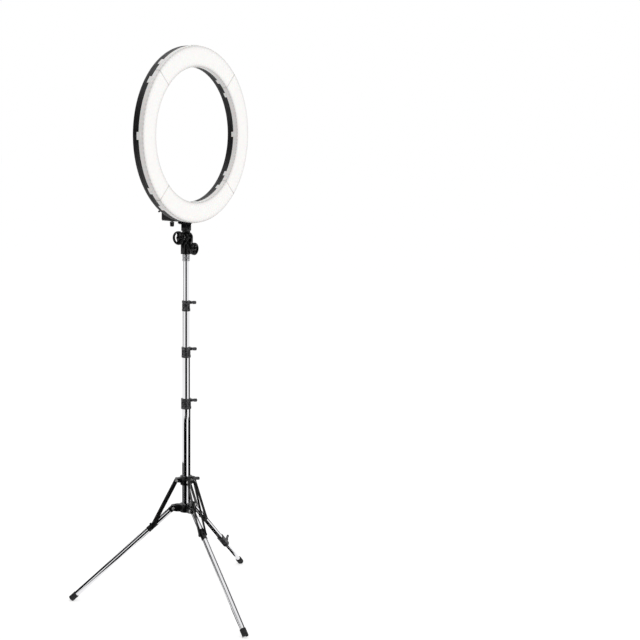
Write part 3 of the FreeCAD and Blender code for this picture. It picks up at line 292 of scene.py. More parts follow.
def phosphor_gel():
    """Silicone with phosphor in it: a soft yellow with a slight gloss."""
    tone = linear(colours().phosphor)
    material, tree, shader = new_material("silicone_phosphor", tone, IOR=1.41, Roughness=0.3)
    mottled(tree, shader, tone, 0.85, 900.0)
    return material


# The diffuser's own glow, as the lamp is on; the skirt's lower value is painted shade.
SKIRT_GLOW_SHADED = 0.34
FACE_GLOW = 0.6


def opal_sheet():
    """Opal acrylic: white all through, with the rows of lights behind it showing as faint
    brighter and duller spots, stronger towards both rims. It glows as the lamp it is; painted
    shade darkens it towards both rims and along its seams, and dims the skirt's glow."""
    tone = linear(colours().diffuser)
    material, tree, shader = new_material(
        "acrylic_opal", tone, IOR=1.49, Roughness=0.35, Subsurface_Weight=0.15,
        Subsurface_Scale=0.004)
    middle = ring_centre()
    inner, outer = ring_radii()
    place = add(tree, "ShaderNodeTexCoord")
    parts = add(tree, "ShaderNodeSeparateXYZ", [("Vector", place.outputs["Object"])])

    def maths(operation, first, second=None, third=None):
        node = add(tree, "ShaderNodeMath", operation=operation)
        for n, source in enumerate((first, second, third)):
            if isinstance(source, bpy.types.NodeSocket):
                tree.links.new(source, node.inputs[n])
            elif source is not None:
                node.inputs[n].default_value = source
        return node.outputs[0]

    height = maths("SUBTRACT", parts.outputs["Z"], middle.z)
    radius = maths("SQRT", maths("ADD", maths("POWER", parts.outputs["X"], 2.0),
                                 maths("POWER", height, 2.0)))
    angle = maths("ARCTAN2", height, parts.outputs["X"])
    share = maths("DIVIDE", maths("SUBTRACT", radius, inner), outer - inner)
    columns, rows = sizes().led_columns, sizes().led_rows
    across = maths("COSINE", maths("MULTIPLY", angle, 2 * columns))
    along = maths("COSINE", maths("MULTIPLY", share, 2 * math.pi * rows))
    spots = maths("MULTIPLY", across, along)
    edge = maths("MINIMUM", maths("ABSOLUTE", maths("MULTIPLY_ADD", share, 2.0, -1.0)), 1.0)
    rim = maths("POWER", edge, 3.0)
    face_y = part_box("diffuser_2")[0].y
    front = add(tree, "ShaderNodeMapRange", [("Value", parts.outputs["Y"])],
                From_Min=face_y + 0.0026, From_Max=face_y + 0.0002).outputs["Result"]
    # Painted shade: darker towards both rims, more on the face than on the skirt.
    fall = maths("ADD", maths("MULTIPLY", maths("POWER", edge, 7.0), 0.42),
                 maths("MULTIPLY", maths("POWER", edge, 22.0), 0.3))
    shading = maths("MULTIPLY", fall, maths("MULTIPLY_ADD", front, 0.75, 0.25))
    # Painted shade along the four seams between the quarters.
    quarter = maths("ABSOLUTE", maths("COSINE", maths("MULTIPLY", angle, 2.0)))
    seam = add(tree, "ShaderNodeMapRange", [("Value", quarter)], From_Min=0.02,
               From_Max=0.006).outputs["Result"]
    shading = maths("ADD", shading, maths("MULTIPLY", seam, 0.3))
    clouds = noise(tree, place, 130.0)
    blotch = maths("SUBTRACT", clouds, 0.5)
    texture = maths("ADD", maths("MULTIPLY", spots, maths("MULTIPLY_ADD", rim, 0.08, 0.012)),
                    maths("MULTIPLY", blotch, 0.07))
    seen = maths("MULTIPLY", texture, maths("MULTIPLY_ADD", front, 0.85, 0.15))
    level = maths("SUBTRACT", maths("ADD", 0.955, seen), shading)
    white = add(tree, "ShaderNodeCombineColor")
    for n in range(3):
        tree.links.new(maths("MULTIPLY", level, tone[n]), white.inputs[n])
    tree.links.new(white.outputs["Color"], shader.inputs["Base Color"])
    tree.links.new(white.outputs["Color"], shader.inputs["Emission Color"])
    # The skirt glows less than the face: painted shade.
    glow = maths("MULTIPLY_ADD", front, FACE_GLOW - SKIRT_GLOW_SHADED, SKIRT_GLOW_SHADED)
    tree.links.new(glow, shader.inputs["Emission Strength"])
    bumped(tree, shader, clouds, 0.00005, 0.3)
    return material


MATERIALS = {
    "housing": moulded_abs,
    "knob": polished_abs,
    "bracket": lambda: powder_coat("powder_coat_black", "black_paint"),
    "wing": lambda: powder_coat("zinc_casting_lacquered", "wing", 0.22, 0.36),
    "brace": lambda: powder_coat("stove_enamel_black", "brace", 0.26, 0.4),
    "casting": tumbled_casting,
    "chrome": lambda: plated("chrome_plated_tube", "chrome", 0.03, 0.07, 500.0),
    "zinc": lambda: plated("zinc_plated_steel", "zinc", 0.5, 0.62, 1500.0),
    "nickel": lambda: plated("nickel_plated_brass", "alloy", 0.1, 0.18, 1500.0),
    "alloy": lambda: turned_metal("aluminium_turned", "alloy", 0.22, 0.0004),
    "oxide": lambda: turned_metal("steel_black_oxide", "oxide", 0.35, 0.0003),
    "rubber": moulded_rubber,
    "board": lambda: solder_mask("solder_mask_white", "board"),
    "driver": lambda: solder_mask("solder_mask_green", "mask_green"),
    "phosphor": phosphor_gel,
    "opal": opal_sheet,
}
made_materials = {}


def finish_of(key):
    """The material for a finish, made the first time it is asked for."""
    if key not in made_materials:
        made_materials[key] = MATERIALS[key]()
    return made_materials[key]


# ---------------------------------------------------------------- mesh helpers

def ring_centre():
    low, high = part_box("ring_housing")
    return Vector((0, high.y, (low.z + high.z) / 2))


def ring_radii():
    """The ring's inner and outer radius."""
    low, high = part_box("ring_housing")
    return inner_radius(), (high.z - low.z) / 2


def inner_radius():
    """The smallest distance of the housing's mesh from the ring's axis."""
    middle = ring_centre()
    mesh = frame["nodes"]["ring_housing"].data
    return min(math.hypot(v.co.x - middle.x, v.co.z - middle.z) for v in mesh.vertices)


def basis(origin, z_axis, x_hint=Vector((1, 0, 0))):
    """A matrix with Z along an axis and X as near as it can be to the hint."""
    z = Vector(z_axis).normalized()
    x = Vector(x_hint) - Vector(x_hint).dot(z) * z
    x.normalize()
    y = z.cross(x)
    return Matrix.Translation(origin) @ Matrix((x, y, z)).transposed().to_4x4()


def lathe(mesh, outline, steps, matrix):
    """Turn a closed outline of (radius, height) about Z into a ring."""
    rows = []
    for n in range(steps):
        angle = 2 * math.pi * n / steps
        rows.append([
            mesh.verts.new(matrix @ Vector((r * math.cos(angle), r * math.sin(angle), z)))
            for r, z in outline])
    for here, there in zip(rows, rows[1:] + rows[:1]):
        for a, b, c, d in zip(here, here[1:] + here[:1], there[1:] + there[:1], there):
            mesh.faces.new((a, b, c, d))


def turned(mesh, profile, steps, matrix=Matrix()):
    """Turn a profile of (radius, height) about Z. It is closed where it meets the axis."""
    rows = []
    for r, z in profile:
        if r < 1e-7:
            rows.append([mesh.verts.new(matrix @ Vector((0, 0, z)))])
            continue
        rows.append([
            mesh.verts.new(matrix @ Vector((r * math.cos(2 * math.pi * n / steps),
                                            r * math.sin(2 * math.pi * n / steps), z)))
            for n in range(steps)])
    for low, high in zip(rows, rows[1:]):
        for n in range(steps):
            m = (n + 1) % steps
            corners = [low[n % len(low)], low[m % len(low)], high[m % len(high)],
                       high[n % len(high)]]
            unique = list(dict.fromkeys(corners))
            if len(unique) > 2:
                mesh.faces.new(unique)


def prism(mesh, outline, low, high, matrix):
    """Extrude a flat outline of (x, y) from one height to another."""
    rows = [[mesh.verts.new(matrix @ Vector((x, y, z))) for x, y in outline] for z in (low, high)]
    mesh.faces.new(reversed(rows[0]))
    mesh.faces.new(rows[1])
    for n in range(len(outline)):
        m = (n + 1) % len(outline)
        mesh.faces.new((rows[0][n], rows[0][m], rows[1][m], rows[1][n]))


def arc(centre, radius, start, end, steps):
    """Points on an arc, angles in degrees."""
    angles = [math.radians(start + (end - start) * n / steps) for n in range(steps + 1)]
    return [(centre[0] + radius * math.cos(a), centre[1] + radius * math.sin(a)) for a in angles]


def soften(mesh, width, sharp=32.0):
    """Break the edges that are sharper than an angle in degrees."""
    edges = [e for e in mesh.edges if len(e.link_faces) == 2
             and e.calc_face_angle(0.0) > math.radians(sharp)]
    if edges and width:
        bmesh.ops.bevel(mesh, geom=edges, offset=width, segments=2, profile=0.5,
                        affect="EDGES", clamp_overlap=True)


def piece(name, mesh, finish, body, replaces=(), flat_angle=32.0):
    """Turn a bmesh into an object that rides on a body and takes a slot's finish."""
    bmesh.ops.recalc_face_normals(mesh, faces=mesh.faces)
    for face in mesh.faces:
        face.smooth = True
    for edge in mesh.edges:
        edge.smooth = edge.calc_face_angle(0.0) < math.radians(flat_angle)
    data = bpy.data.meshes.new(name)
    mesh.to_mesh(data)
    mesh.free()
    item = bpy.data.objects.new(name, data)
    bpy.context.scene.collection.objects.link(item)
    data.materials.append(finish_of(finish))
    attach(item, body)
    if replaces:
        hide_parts(*replaces)
    return item


def body_with(node):
    """The moving body that holds a CAD node."""
    return next(name for name, held in frame["record"]["behaviour"]["bodies"].items()
                if node in held)


def softened(node, finish, width):
    """A copy of a CAD node with its edges broken, which stands for that node."""
    mesh = bmesh.new()
    mesh.from_mesh(frame["nodes"][node].data)
    bmesh.ops.remove_doubles(mesh, verts=mesh.verts, dist=1e-6)
    bmesh.ops.dissolve_limit(mesh, angle_limit=math.radians(0.6), verts=mesh.verts,
                             edges=mesh.edges)
    soften(mesh, width)
    return piece(f"{node}_cast", mesh, finish, body_with(node), [node])


def keep(node, finish):
    """Leave a CAD node's shape as it is and give it a finish."""
    item = frame["nodes"][node]
    item.data.materials.clear()
    item.data.materials.append(finish_of(finish))


# ---------------------------------------------------------------- ring head

def build_housing():
    """The dished annulus: rounded back edges, a groove around its wall and ribs behind."""
    inner, outer = ring_radii()
    low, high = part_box("ring_housing")
    deep, wall, curve = high.y - low.y, 2.2 * MM, 5 * MM
    groove, soft, rib_half, sunk = 0.5 * MM, 0.6 * MM, 0.7 * MM, 0.3 * MM
    back = basis(ring_centre(), (0, -1, 0))

    def wall_side(radius, way):
        """One wall from the back's curve to the front rim, with its shallow groove."""
        middle = deep * 0.56
        bend = [(radius - way * curve + way * curve * math.sin(math.radians(t)),
                 curve - curve * math.cos(math.radians(t))) for t in range(0, 91, 10)]
        return bend + [
            (radius, middle - 1.6 * MM), (radius - way * groove, middle - 1.1 * MM),
            (radius - way * groove, middle + 1.1 * MM), (radius, middle + 1.6 * MM),
            (radius, deep - soft), (radius - way * soft, deep), (radius - way * wall, deep),
            (radius - way * wall, wall)]

    mesh = bmesh.new()
    lathe(mesh, wall_side(outer, 1) + list(reversed(wall_side(inner, -1))), 288, back)
    piece("housing_shell", mesh, "housing", "head", ["ring_housing"], 24.0)

    ribs = bmesh.new()
    for n in range(sizes().back_ribs):
        angle = 2 * math.pi * (n + 0.5) / sizes().back_ribs
        turn = back @ Matrix.Rotation(angle, 4, "Z")
        for start, end in ((inner + 9 * MM, inner + 23 * MM), (inner + 33 * MM, outer - 9 * MM)):
            prism(ribs, [(start, -rib_half), (end, -rib_half), (end, rib_half),
                         (start, rib_half)], -sizes().rib_high, sunk, turn)
    for radius in (inner + 7 * MM, (inner + outer) / 2, outer - 7 * MM):
        near, far = radius - 0.8 * MM, radius + 0.8 * MM
        lathe(ribs, [(near, sunk), (near, -sizes().rib_high), (far, -sizes().rib_high),
                     (far, sunk)], 192, back)
    piece("housing_ribs", ribs, "housing", "head")


def cross_recess_shade(mesh, across, deep, matrix):
    """Two crossed bars in gloss black that stand for the recess of a cross-head screw: painted
    shade in its hollow.
    """
    half, thin = across / 2, across / 9
    for turn in (0, 90):
        prism(mesh, [(-half, -thin), (half, -thin), (half, thin), (-half, thin)], -deep, deep,
              matrix @ Matrix.Rotation(math.radians(turn), 4, "Z"))


def domed_head(mesh, radius, high, matrix):
    """A low dome with a flat rim, its base on the matrix's plane."""
    rise = [(radius * math.cos(math.radians(t)), high * (0.35 + 0.65 * math.sin(math.radians(t))))
            for t in range(0, 90, 15)]
    turned(mesh, [(0, 0), (radius, 0)] + rise + [(0, high)], 32, matrix)


def build_housing_screws():
    """Countersunk cross-head screws seen from behind."""
    heads, recess_shade = bmesh.new(), bmesh.new()
    inner, outer = ring_radii()
    for n in range(8):
        turn = basis(ring_centre(), (0, -1, 0)) @ Matrix.Rotation(
            math.radians(22.5 + 45 * n), 4, "Z")
        at = turn @ Matrix.Translation(((inner + outer) / 2, 0, 0)) @ Matrix.Rotation(
            math.pi, 4, "X")
        turned(heads, [(0, -0.4 * MM), (3.4 * MM, -0.4 * MM), (3.4 * MM, 0.25 * MM),
                       (2.9 * MM, 0.55 * MM), (0, 0.7 * MM)], 28, at)
        # The cross recess is dark bars rather than a hollow: painted shade.
        cross_recess_shade(recess_shade, 3.2 * MM, 0.12 * MM, at @ Matrix.Translation((0, 0, 0.64 * MM)))
    piece("housing_screw_heads", heads, "oxide", "head")
    piece("housing_screw_recess_shade", recess_shade, "knob", "head")
    keep("housing_screws", "zinc")


class RINGLIGHT_OT_ring(bpy.types.Operator):
    """Build the ring: housing, lights and diffuser quarters"""
    bl_idname = "ringlight.ring"
    bl_label = "Ring"

    def execute(self, context):
        build_housing()
        build_housing_screws()
        keep("led_board", "board")
        keep("led_packages", "phosphor")
        for n in range(1, 5):
            keep(f"diffuser_{n}", "opal")
        return {"FINISHED"}


# ---------------------------------------------------------------- control box

def build_dial_marks():
    """A raised scale around the dimmer's nut, from one end of its turn to the other."""
    place = joint_place("dimmer_turn")
    at = Matrix.Translation((place.x, place.y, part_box("control_box")[0].z))
    marks, start = bmesh.new(), 8.6 * MM
    for n in range(11):
        angle = math.radians(125 + 29 * n)
        half, end = (0.35 * MM, 10.2 * MM) if n % 5 else (0.55 * MM, 10.8 * MM)
        prism(marks, [(start, -half), (end, -half), (end, half), (start, half)],
              -0.15 * MM, 0.2 * MM, at @ Matrix.Rotation(angle, 4, "Z"))
    piece("dial_marks", marks, "board", "head")


def build_cover_vents():
    """Two columns of raised louvres on the back cover."""
    low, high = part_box("control_box_cover")
    vents, spread, half_long = bmesh.new(), 16 * MM, 11 * MM
    for x in (-spread, spread):
        for row in range(7):
            z = low.z + (12 + 3.6 * row) * MM
            at = basis(Vector((x, high.y, z)), (1, 0, 0), (0, 1, 0))
            prism(vents, [(-0.4 * MM, -0.9 * MM), (0.7 * MM, 0.5 * MM), (-0.4 * MM, 0.9 * MM)],
                  -half_long, half_long, at)
    piece("cover_louvres", vents, "housing", "head")


def build_cover_screws():
    """Domed cross-head screws at the cover's corners."""
    heads, recess_shade = bmesh.new(), bmesh.new()
    low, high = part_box("cover_screws")
    for x in (low.x + 3 * MM, high.x - 3 * MM):
        for z in (low.z + 3 * MM, high.z - 3 * MM):
            at = basis(Vector((x, high.y - 1.4 * MM, z)), (0, 1, 0))
            domed_head(heads, 3 * MM, 1.3 * MM, at)
            # The cross recess is dark bars rather than a hollow: painted shade.
            cross_recess_shade(recess_shade, 3 * MM, 0.1 * MM, at @ Matrix.Translation((0, 0, 1.25 * MM)))
    piece("cover_screw_heads", heads, "oxide", "head", ["cover_screws"])
    piece("cover_screw_recess_shade", recess_shade, "knob", "head")


def build_switch_lever():
    """The toggle's bat: a slim cone that swells into a round end."""
    low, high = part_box("toggle_lever")
    pivot = joint_place("power_toggle")
    radius, slim = 2.8 * MM, 1.5 * MM
    along = Vector((pivot.x, high.y - radius, low.z + radius)) - pivot
    at = basis(pivot, along)
    reach = along.length
    mesh = bmesh.new()
    cap = [(radius * math.cos(math.radians(t)), reach + radius * math.sin(math.radians(t)))
           for t in range(-50, 90, 14)]
    turned(mesh, [(0, -1.7 * MM), (slim, -0.8 * MM), (slim, 0.6 * MM),
                  (1.9 * MM, reach * 0.5)] + cap + [(0, reach + radius)], 28, at)
    piece("toggle_bat", mesh, "knob", "toggle", ["toggle_lever"])


class RINGLIGHT_OT_control_box(bpy.types.Operator):
    """Build the control box with its cover, switch, inlet and insides"""
    bl_idname = "ringlight.control_box"
    bl_label = "Control Box"

    def execute(self, context):
        softened("control_box", "housing", 0.8 * MM)
        softened("control_box_cover", "housing", sizes().edge_round)
        build_cover_vents()
        build_cover_screws()
        build_dial_marks()
        build_switch_lever()
        softened("toggle_switch", "nickel", sizes().fine_round)
        softened("power_inlet", "knob", sizes().fine_round)
        keep("driver_board", "driver")
        keep("dimmer_pot", "zinc")
        return {"FINISHED"}


class RINGLIGHT_OT_dimmer_knob(bpy.types.Operator):
    """Build the dimmer's fluted knob"""
    bl_idname = "ringlight.dimmer_knob"
    bl_label = "Dimmer Knob"

    def execute(self, context):
        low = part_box("dimmer_knob")[0]
        start = joint_place("dimmer_turn")
        radius, long, steps, flutes = 6.25 * MM, 12.5 * MM, 96, 12
        at = basis(Vector((start.x, start.y, low.z + long)), (0, 0, -1))
        mesh = bmesh.new()
        rows = []
        levels = [(0, 0.98), (0.4, 1.02), (2.2, 1.0), (2.6, 0.95), (10.2, 0.9), (11.6, 0.84),
                  (12.2, 0.74), (12.5, 0.6)]
        for z, share in levels:
            fluted = 2.3 < z < 11.8
            row = []
            for n in range(steps):
                angle = 2 * math.pi * n / steps
                flute = 0.045 * max(0.0, math.cos(flutes * angle)) if fluted else 0.0
                r = radius * (share - flute)
                row.append(mesh.verts.new(at @ Vector((r * math.cos(angle),
                                                       r * math.sin(angle), z * MM))))
            rows.append(row)
        for here, there in zip(rows, rows[1:]):
            for n in range(steps):
                m = (n + 1) % steps
                mesh.faces.new((here[n], here[m], there[m], there[n]))
        mesh.faces.new(reversed(rows[0]))
        mesh.faces.new(rows[-1])
        piece("dimmer_cap", mesh, "knob", "dimmer", ["dimmer_knob"], 40.0)
        pointer = bmesh.new()
        prism(pointer, [(radius * 0.1, -0.4 * MM), (radius * 0.55, -0.4 * MM),
                        (radius * 0.55, 0.4 * MM), (radius * 0.1, 0.4 * MM)],
              12.3 * MM, 12.55 * MM, at)
        piece("dimmer_pointer", pointer, "board", "dimmer")
        return {"FINISHED"}


# ---------------------------------------------------------------- bracket and tilt joint

class RINGLIGHT_OT_bracket(bpy.types.Operator):
    """Build the mount plate, its bolts and the tilting neck"""
    bl_idname = "ringlight.bracket"
    bl_label = "Bracket"

    def execute(self, context):
        softened("mount_plate", "bracket", 0.4 * MM)
        softened("tilt_neck", "bracket", 0.5 * MM)
        softened("bracket_screws", "zinc", sizes().fine_round)
        softened("tilt_bolt", "zinc", sizes().fine_round)
        softened("tilt_washers", "zinc", 0.15 * MM)
        return {"FINISHED"}


def build_hand_wheel(name, node, at, across, hub_long, body):
    """A knob like a small wheel: a rounded rim, a grip bar with waisted sides and a domed hub."""
    rim, thick, curve = 4.5 * MM, 7 * MM, 1.8 * MM
    outer, inner = across / 2, across / 2 - rim
    mesh = bmesh.new()
    outline = (arc((outer - curve, hub_long + curve), curve, -90, 0, 5)
               + arc((outer - curve, hub_long + thick - curve), curve, 0, 90, 5)
               + arc((inner + 0.8 * MM, hub_long + thick - 0.8 * MM), 0.8 * MM, 90, 180, 4)
               + arc((inner + 0.8 * MM, hub_long + 0.8 * MM), 0.8 * MM, 180, 270, 4))
    lathe(mesh, outline, 64, at)
    half = 4 * MM
    side = [(inner * 1.04 * math.cos(math.radians(t)), half + 1.2 * MM * abs(math.cos(
        math.radians(t))) ** 3) for t in range(12, 169, 12)]
    prism(mesh, side + [(-x, -y) for x, y in side], hub_long + 0.9 * MM,
          hub_long + thick - 0.9 * MM, at)
    soften(mesh, 0.6 * MM, 40.0)
    turned(mesh, [(0, 0), (6.4 * MM, 0), (7 * MM, 0.6 * MM), (7 * MM, hub_long + thick - 1.4 * MM),
                  (6 * MM, hub_long + thick - 0.5 * MM), (4 * MM, hub_long + thick - 0.1 * MM),
                  (0, hub_long + thick)], 40, at)
    piece(name, mesh, "knob", body, [node], 40.0)


class RINGLIGHT_OT_hand_wheels(bpy.types.Operator):
    """Build the tilt knob and the socket's lock knob"""
    bl_idname = "ringlight.hand_wheels"
    bl_label = "Hand Wheels"

    def execute(self, context):
        tilt_face = Vector((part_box("tilt_knob")[1].x, 0, joint_place("tilt_lock").z))
        build_hand_wheel("tilt_wheel_grip", "tilt_knob", basis(tilt_face, (-1, 0, 0), UP),
                         38.5 * MM, 15 * MM, "tilt_wheel")
        lock_low, lock_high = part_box("lock_knob")
        wheel_long, stud_radius = 13 * MM, 3 * MM
        lock_face = Vector((0, lock_low.y + wheel_long, joint_place("socket_lock").z))
        build_hand_wheel("lock_wheel_grip", "lock_knob", basis(lock_face, (0, -1, 0), UP),
                         35 * MM, 6 * MM, "lock_wheel")
        stud, tip = bmesh.new(), lock_face.y - lock_high.y
        turned(stud, [(0, tip), (stud_radius, tip), (stud_radius, 1 * MM), (0, 1 * MM)], 24,
               basis(lock_face, (0, -1, 0)))
        piece("lock_wheel_stud", stud, "zinc", "lock_wheel")
        return {"FINISHED"}


class RINGLIGHT_OT_socket(bpy.types.Operator):
    """Build the socket and the turned spigot below it"""
    bl_idname = "ringlight.socket"
    bl_label = "Socket"

    def execute(self, context):
        softened("socket_body", "bracket", sizes().edge_round)
        plug, flange, stud, cut = 6.75 * MM, 10.5 * MM, 8 * MM, 0.8 * MM
        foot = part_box("spigot")[0].z
        base = foot + 20 * MM
        shoulder, tip = base + 20 * MM, base + 46 * MM
        profile = [(0, foot), (plug, foot), (plug, base), (flange - 0.5 * MM, base),
                   (flange, base + 0.5 * MM)]
        for z in (8.0, 10.0, 12.0):
            profile += [(flange, base + (z - 0.6) * MM), (flange - cut, base + z * MM),
                        (flange, base + (z + 0.6) * MM)]
        profile += [(flange, shoulder - cut), (flange - cut, shoulder), (stud, shoulder),
                    (stud, tip - 1.5 * MM), (stud - 1.5 * MM, tip), (0, tip)]
        mesh = bmesh.new()
        turned(mesh, profile, 64)
        piece("spigot_turning", mesh, "alloy", "section_4", ["spigot"])
        return {"FINISHED"}


# ---------------------------------------------------------------- mast

class RINGLIGHT_OT_mast(bpy.types.Operator):
    """Finish the mast's four tubes"""
    bl_idname = "ringlight.mast"
    bl_label = "Mast Tubes"

    def execute(self, context):
        for node in ("main_tube", "tube_2", "tube_3", "tube_4"):
            keep(node, "chrome")
        return {"FINISHED"}


CLAMP_WALL, BOSS_OUT, BOSS_RADIUS = 2.2, 3.5, 4.6
CLAMPS = (("clamp_1", "stand", 25, 22, "clamp_turn_1"),
          ("clamp_2", "section_2", 22, 19, "clamp_turn_2"),
          ("clamp_3", "section_3", 19, 16, "clamp_turn_3"))


def build_clamp(node, body, outer, inner, screw):
    """A tube clamp: two flanges, a ribbed waist, and a boss for its wing screw."""
    low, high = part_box(node)
    seat, throat = (outer / 2 + 0.05) * MM, (inner / 2 + 0.3) * MM
    face = (outer / 2 + CLAMP_WALL) * MM
    waist = face - 0.9 * MM
    tall = high.z - low.z
    outline = [(seat, 0), (face - 0.5 * MM, 0), (face, 0.5 * MM), (face, 6.6 * MM),
               (face - 0.3 * MM, 7 * MM), (waist, 8 * MM), (waist, tall - 8 * MM),
               (face - 0.3 * MM, tall - 7 * MM), (face, tall - 6.6 * MM),
               (face, tall - 0.8 * MM), (face - 0.8 * MM, tall), (throat + 0.4 * MM, tall),
               (throat, tall - 0.4 * MM), (throat, tall - 10 * MM), (seat, tall - 10 * MM)]
    base = Matrix.Translation((0, 0, low.z))
    mesh = bmesh.new()
    lathe(mesh, outline, 72, base)
    out = joint_axis(screw)
    boss = basis(joint_place(screw), out, UP)
    rim, hole = BOSS_RADIUS * MM, 2.6 * MM
    turned(mesh, [(0, outer / 2 * MM), (rim, outer / 2 * MM), (rim, face + 2.9 * MM),
                  (rim - 0.6 * MM, face + BOSS_OUT * MM), (hole, face + BOSS_OUT * MM),
                  (hole, face + 1.5 * MM), (0, face + 1.5 * MM)], 40, boss)
    side = basis(Vector((0, 0, low.z)), UP, out)
    for turn in range(30, 331, 12):
        rib = side @ Matrix.Rotation(math.radians(turn), 4, "Z")
        prism(mesh, [(waist - 0.2 * MM, -0.45 * MM), (waist + 0.5 * MM, -0.3 * MM),
                     (waist + 0.5 * MM, 0.3 * MM), (waist - 0.2 * MM, 0.45 * MM)],
              8.6 * MM, tall - 8.6 * MM, rib)
    piece(f"{node}_casting", mesh, "casting", body, [node])


class RINGLIGHT_OT_clamps(bpy.types.Operator):
    """Build the three tube clamps"""
    bl_idname = "ringlight.clamps"
    bl_label = "Tube Clamps"

    def execute(self, context):
        for node, body, outer, inner, screw in CLAMPS:
            build_clamp(node, body, outer, inner, screw)
        return {"FINISHED"}


# Node, body, joint, then millimetres from the joint: boss face, wing length, stud's inner end.
WINGS = (("clamp_screw_1", "wing_1", "clamp_turn_1", 12.5 + CLAMP_WALL + BOSS_OUT, 13, 11.3),
         ("clamp_screw_2", "wing_2", "clamp_turn_2", 11 + CLAMP_WALL + BOSS_OUT, 13, 9.8),
         ("clamp_screw_3", "wing_3", "clamp_turn_3", 9.5 + CLAMP_WALL + BOSS_OUT, 13, 8.3),
         ("collar_screw", "slider_wing", "collar_lock", 17 + BOSS_OUT, 18, 12.8),
         ("level_screw", "leg_1_wing", "leg_lock", 8 + CLAMP_WALL + BOSS_OUT, 13, 6.8))


def build_wing_screw(node, body, joint, boss_face, long, inner):
    """A wing screw: stud, flared shoulder and a leaf-shaped wing with a raised border."""
    out = joint_axis(joint)
    hint = UP if abs(out.z) < 0.5 else joint_axis("leg_length")
    at = basis(joint_place(joint), out, hint)
    start, stud, corner, half_thick = boss_face + 0.4, 2.5 * MM, 3.4, 1.75 * MM
    mesh = bmesh.new()
    turned(mesh, [(0, inner * MM), (stud, inner * MM), (stud, (start + 0.2) * MM),
                  (0, (start + 0.2) * MM)], 24, at)
    turned(mesh, [(0, start * MM), (4.3 * MM, start * MM), (4.5 * MM, (start + 0.3) * MM),
                  (3.9 * MM, (start + 1.6) * MM), (2.4 * MM, (start + 3.4) * MM),
                  (1.6 * MM, (start + 4.2) * MM), (0, (start + 4.4) * MM)], 32, at)
    high, end = 4.5, start + long
    points = ([(-3.4, start + 1.2), (-high, start + 3.4), (-high, end - 3.6)]
              + arc((corner - high, end - corner), corner, 180, 90, 6)
              + arc((high - corner, end - corner), corner, 90, 0, 6)
              + [(high, end - 3.6), (high, start + 3.4), (3.4, start + 1.2)])
    flat = at @ Matrix(((1, 0, 0, 0), (0, 0, -1, 0), (0, 1, 0, 0), (0, 0, 0, 1)))
    blade = bmesh.new()
    prism(blade, [(x * MM, y * MM) for x, y in points], -half_thick, half_thick, flat)
    blade.faces.ensure_lookup_table()
    bmesh.ops.recalc_face_normals(blade, faces=blade.faces)
    sides = [f for f in blade.faces if len(f.verts) > 4]
    bmesh.ops.inset_individual(blade, faces=sides, thickness=1.1 * MM, depth=0)
    inset = [f for f in blade.faces if len(f.verts) > 4]
    bmesh.ops.inset_individual(blade, faces=inset, thickness=0.35 * MM, depth=-0.55 * MM)
    soften(blade, 0.3 * MM, 50.0)
    data = bpy.data.meshes.new("wing_blade")
    blade.to_mesh(data)
    blade.free()
    mesh.from_mesh(data)
    bpy.data.meshes.remove(data)
    piece(f"{node}_wing", mesh, "wing", body, [node], 40.0)


class RINGLIGHT_OT_wing_screws(bpy.types.Operator):
    """Build the wing screws of the clamps, collar and levelling leg"""
    bl_idname = "ringlight.wing_screws"
    bl_label = "Wing Screws"

    def execute(self, context):
        for wing in WINGS:
            build_wing_screw(*wing)
        return {"FINISHED"}


# ---------------------------------------------------------------- tripod

def leg_turn(leg):
    """Where a leg points, as the unit vector across the floor."""
    place = joint_place(f"leg_fold_{leg}")
    return Vector((place.x, place.y, 0)).normalized()


def along_leg(leg, distance):
    """A leg's frame with Z along the leg, so many millimetres from its pivot."""
    return leg_line(leg) @ Matrix.Translation((distance * MM, 0, 0)) @ Matrix.Rotation(
        math.radians(90), 4, "Y")


def leg_line(leg):
    """A leg's frame: its pivot, with X along the leg, Y across it and Z up and out of it."""
    along = joint_axis("leg_length")
    slope = Vector((math.hypot(along.x, along.y), 0, along.z)).normalized()
    out = leg_turn(leg)
    x = Vector((out.x * slope.x, out.y * slope.x, slope.z))
    z = Vector((-out.x * slope.z, -out.y * slope.z, slope.x))
    y = z.cross(x)
    return Matrix.Translation(joint_place(f"leg_fold_{leg}")) @ Matrix(
        (x, y, z)).transposed().to_4x4()


class RINGLIGHT_OT_hub(bpy.types.Operator):
    """Build the hub casting, its pins and the caps on its ears"""
    bl_idname = "ringlight.hub"
    bl_label = "Hub"

    def execute(self, context):
        softened("hub", "bracket", 0.6 * MM)
        keep("hub_pins", "zinc")
        softened("hub_plug", "knob", sizes().fine_round)
        caps, cap_high, set_back = bmesh.new(), 1.6 * MM, 13 * MM
        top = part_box("hub")[1].z
        for leg in LEGS:
            at = joint_place(f"leg_fold_{leg}") - leg_turn(leg) * set_back
            at.z = top - cap_high
            turned(caps, [(0, 0), (5.2 * MM, 0), (5.2 * MM, 1.2 * MM), (4.6 * MM, cap_high),
                          (0, cap_high)], 32, Matrix.Translation(at))
        piece("hub_ear_caps", caps, "bracket", "stand")
        return {"FINISHED"}


class RINGLIGHT_OT_collar(bpy.types.Operator):
    """Build the sliding collar and its pins"""
    bl_idname = "ringlight.collar"
    bl_label = "Collar"

    def execute(self, context):
        softened("collar", "bracket", 0.6 * MM)
        keep("collar_pins", "zinc")
        return {"FINISHED"}


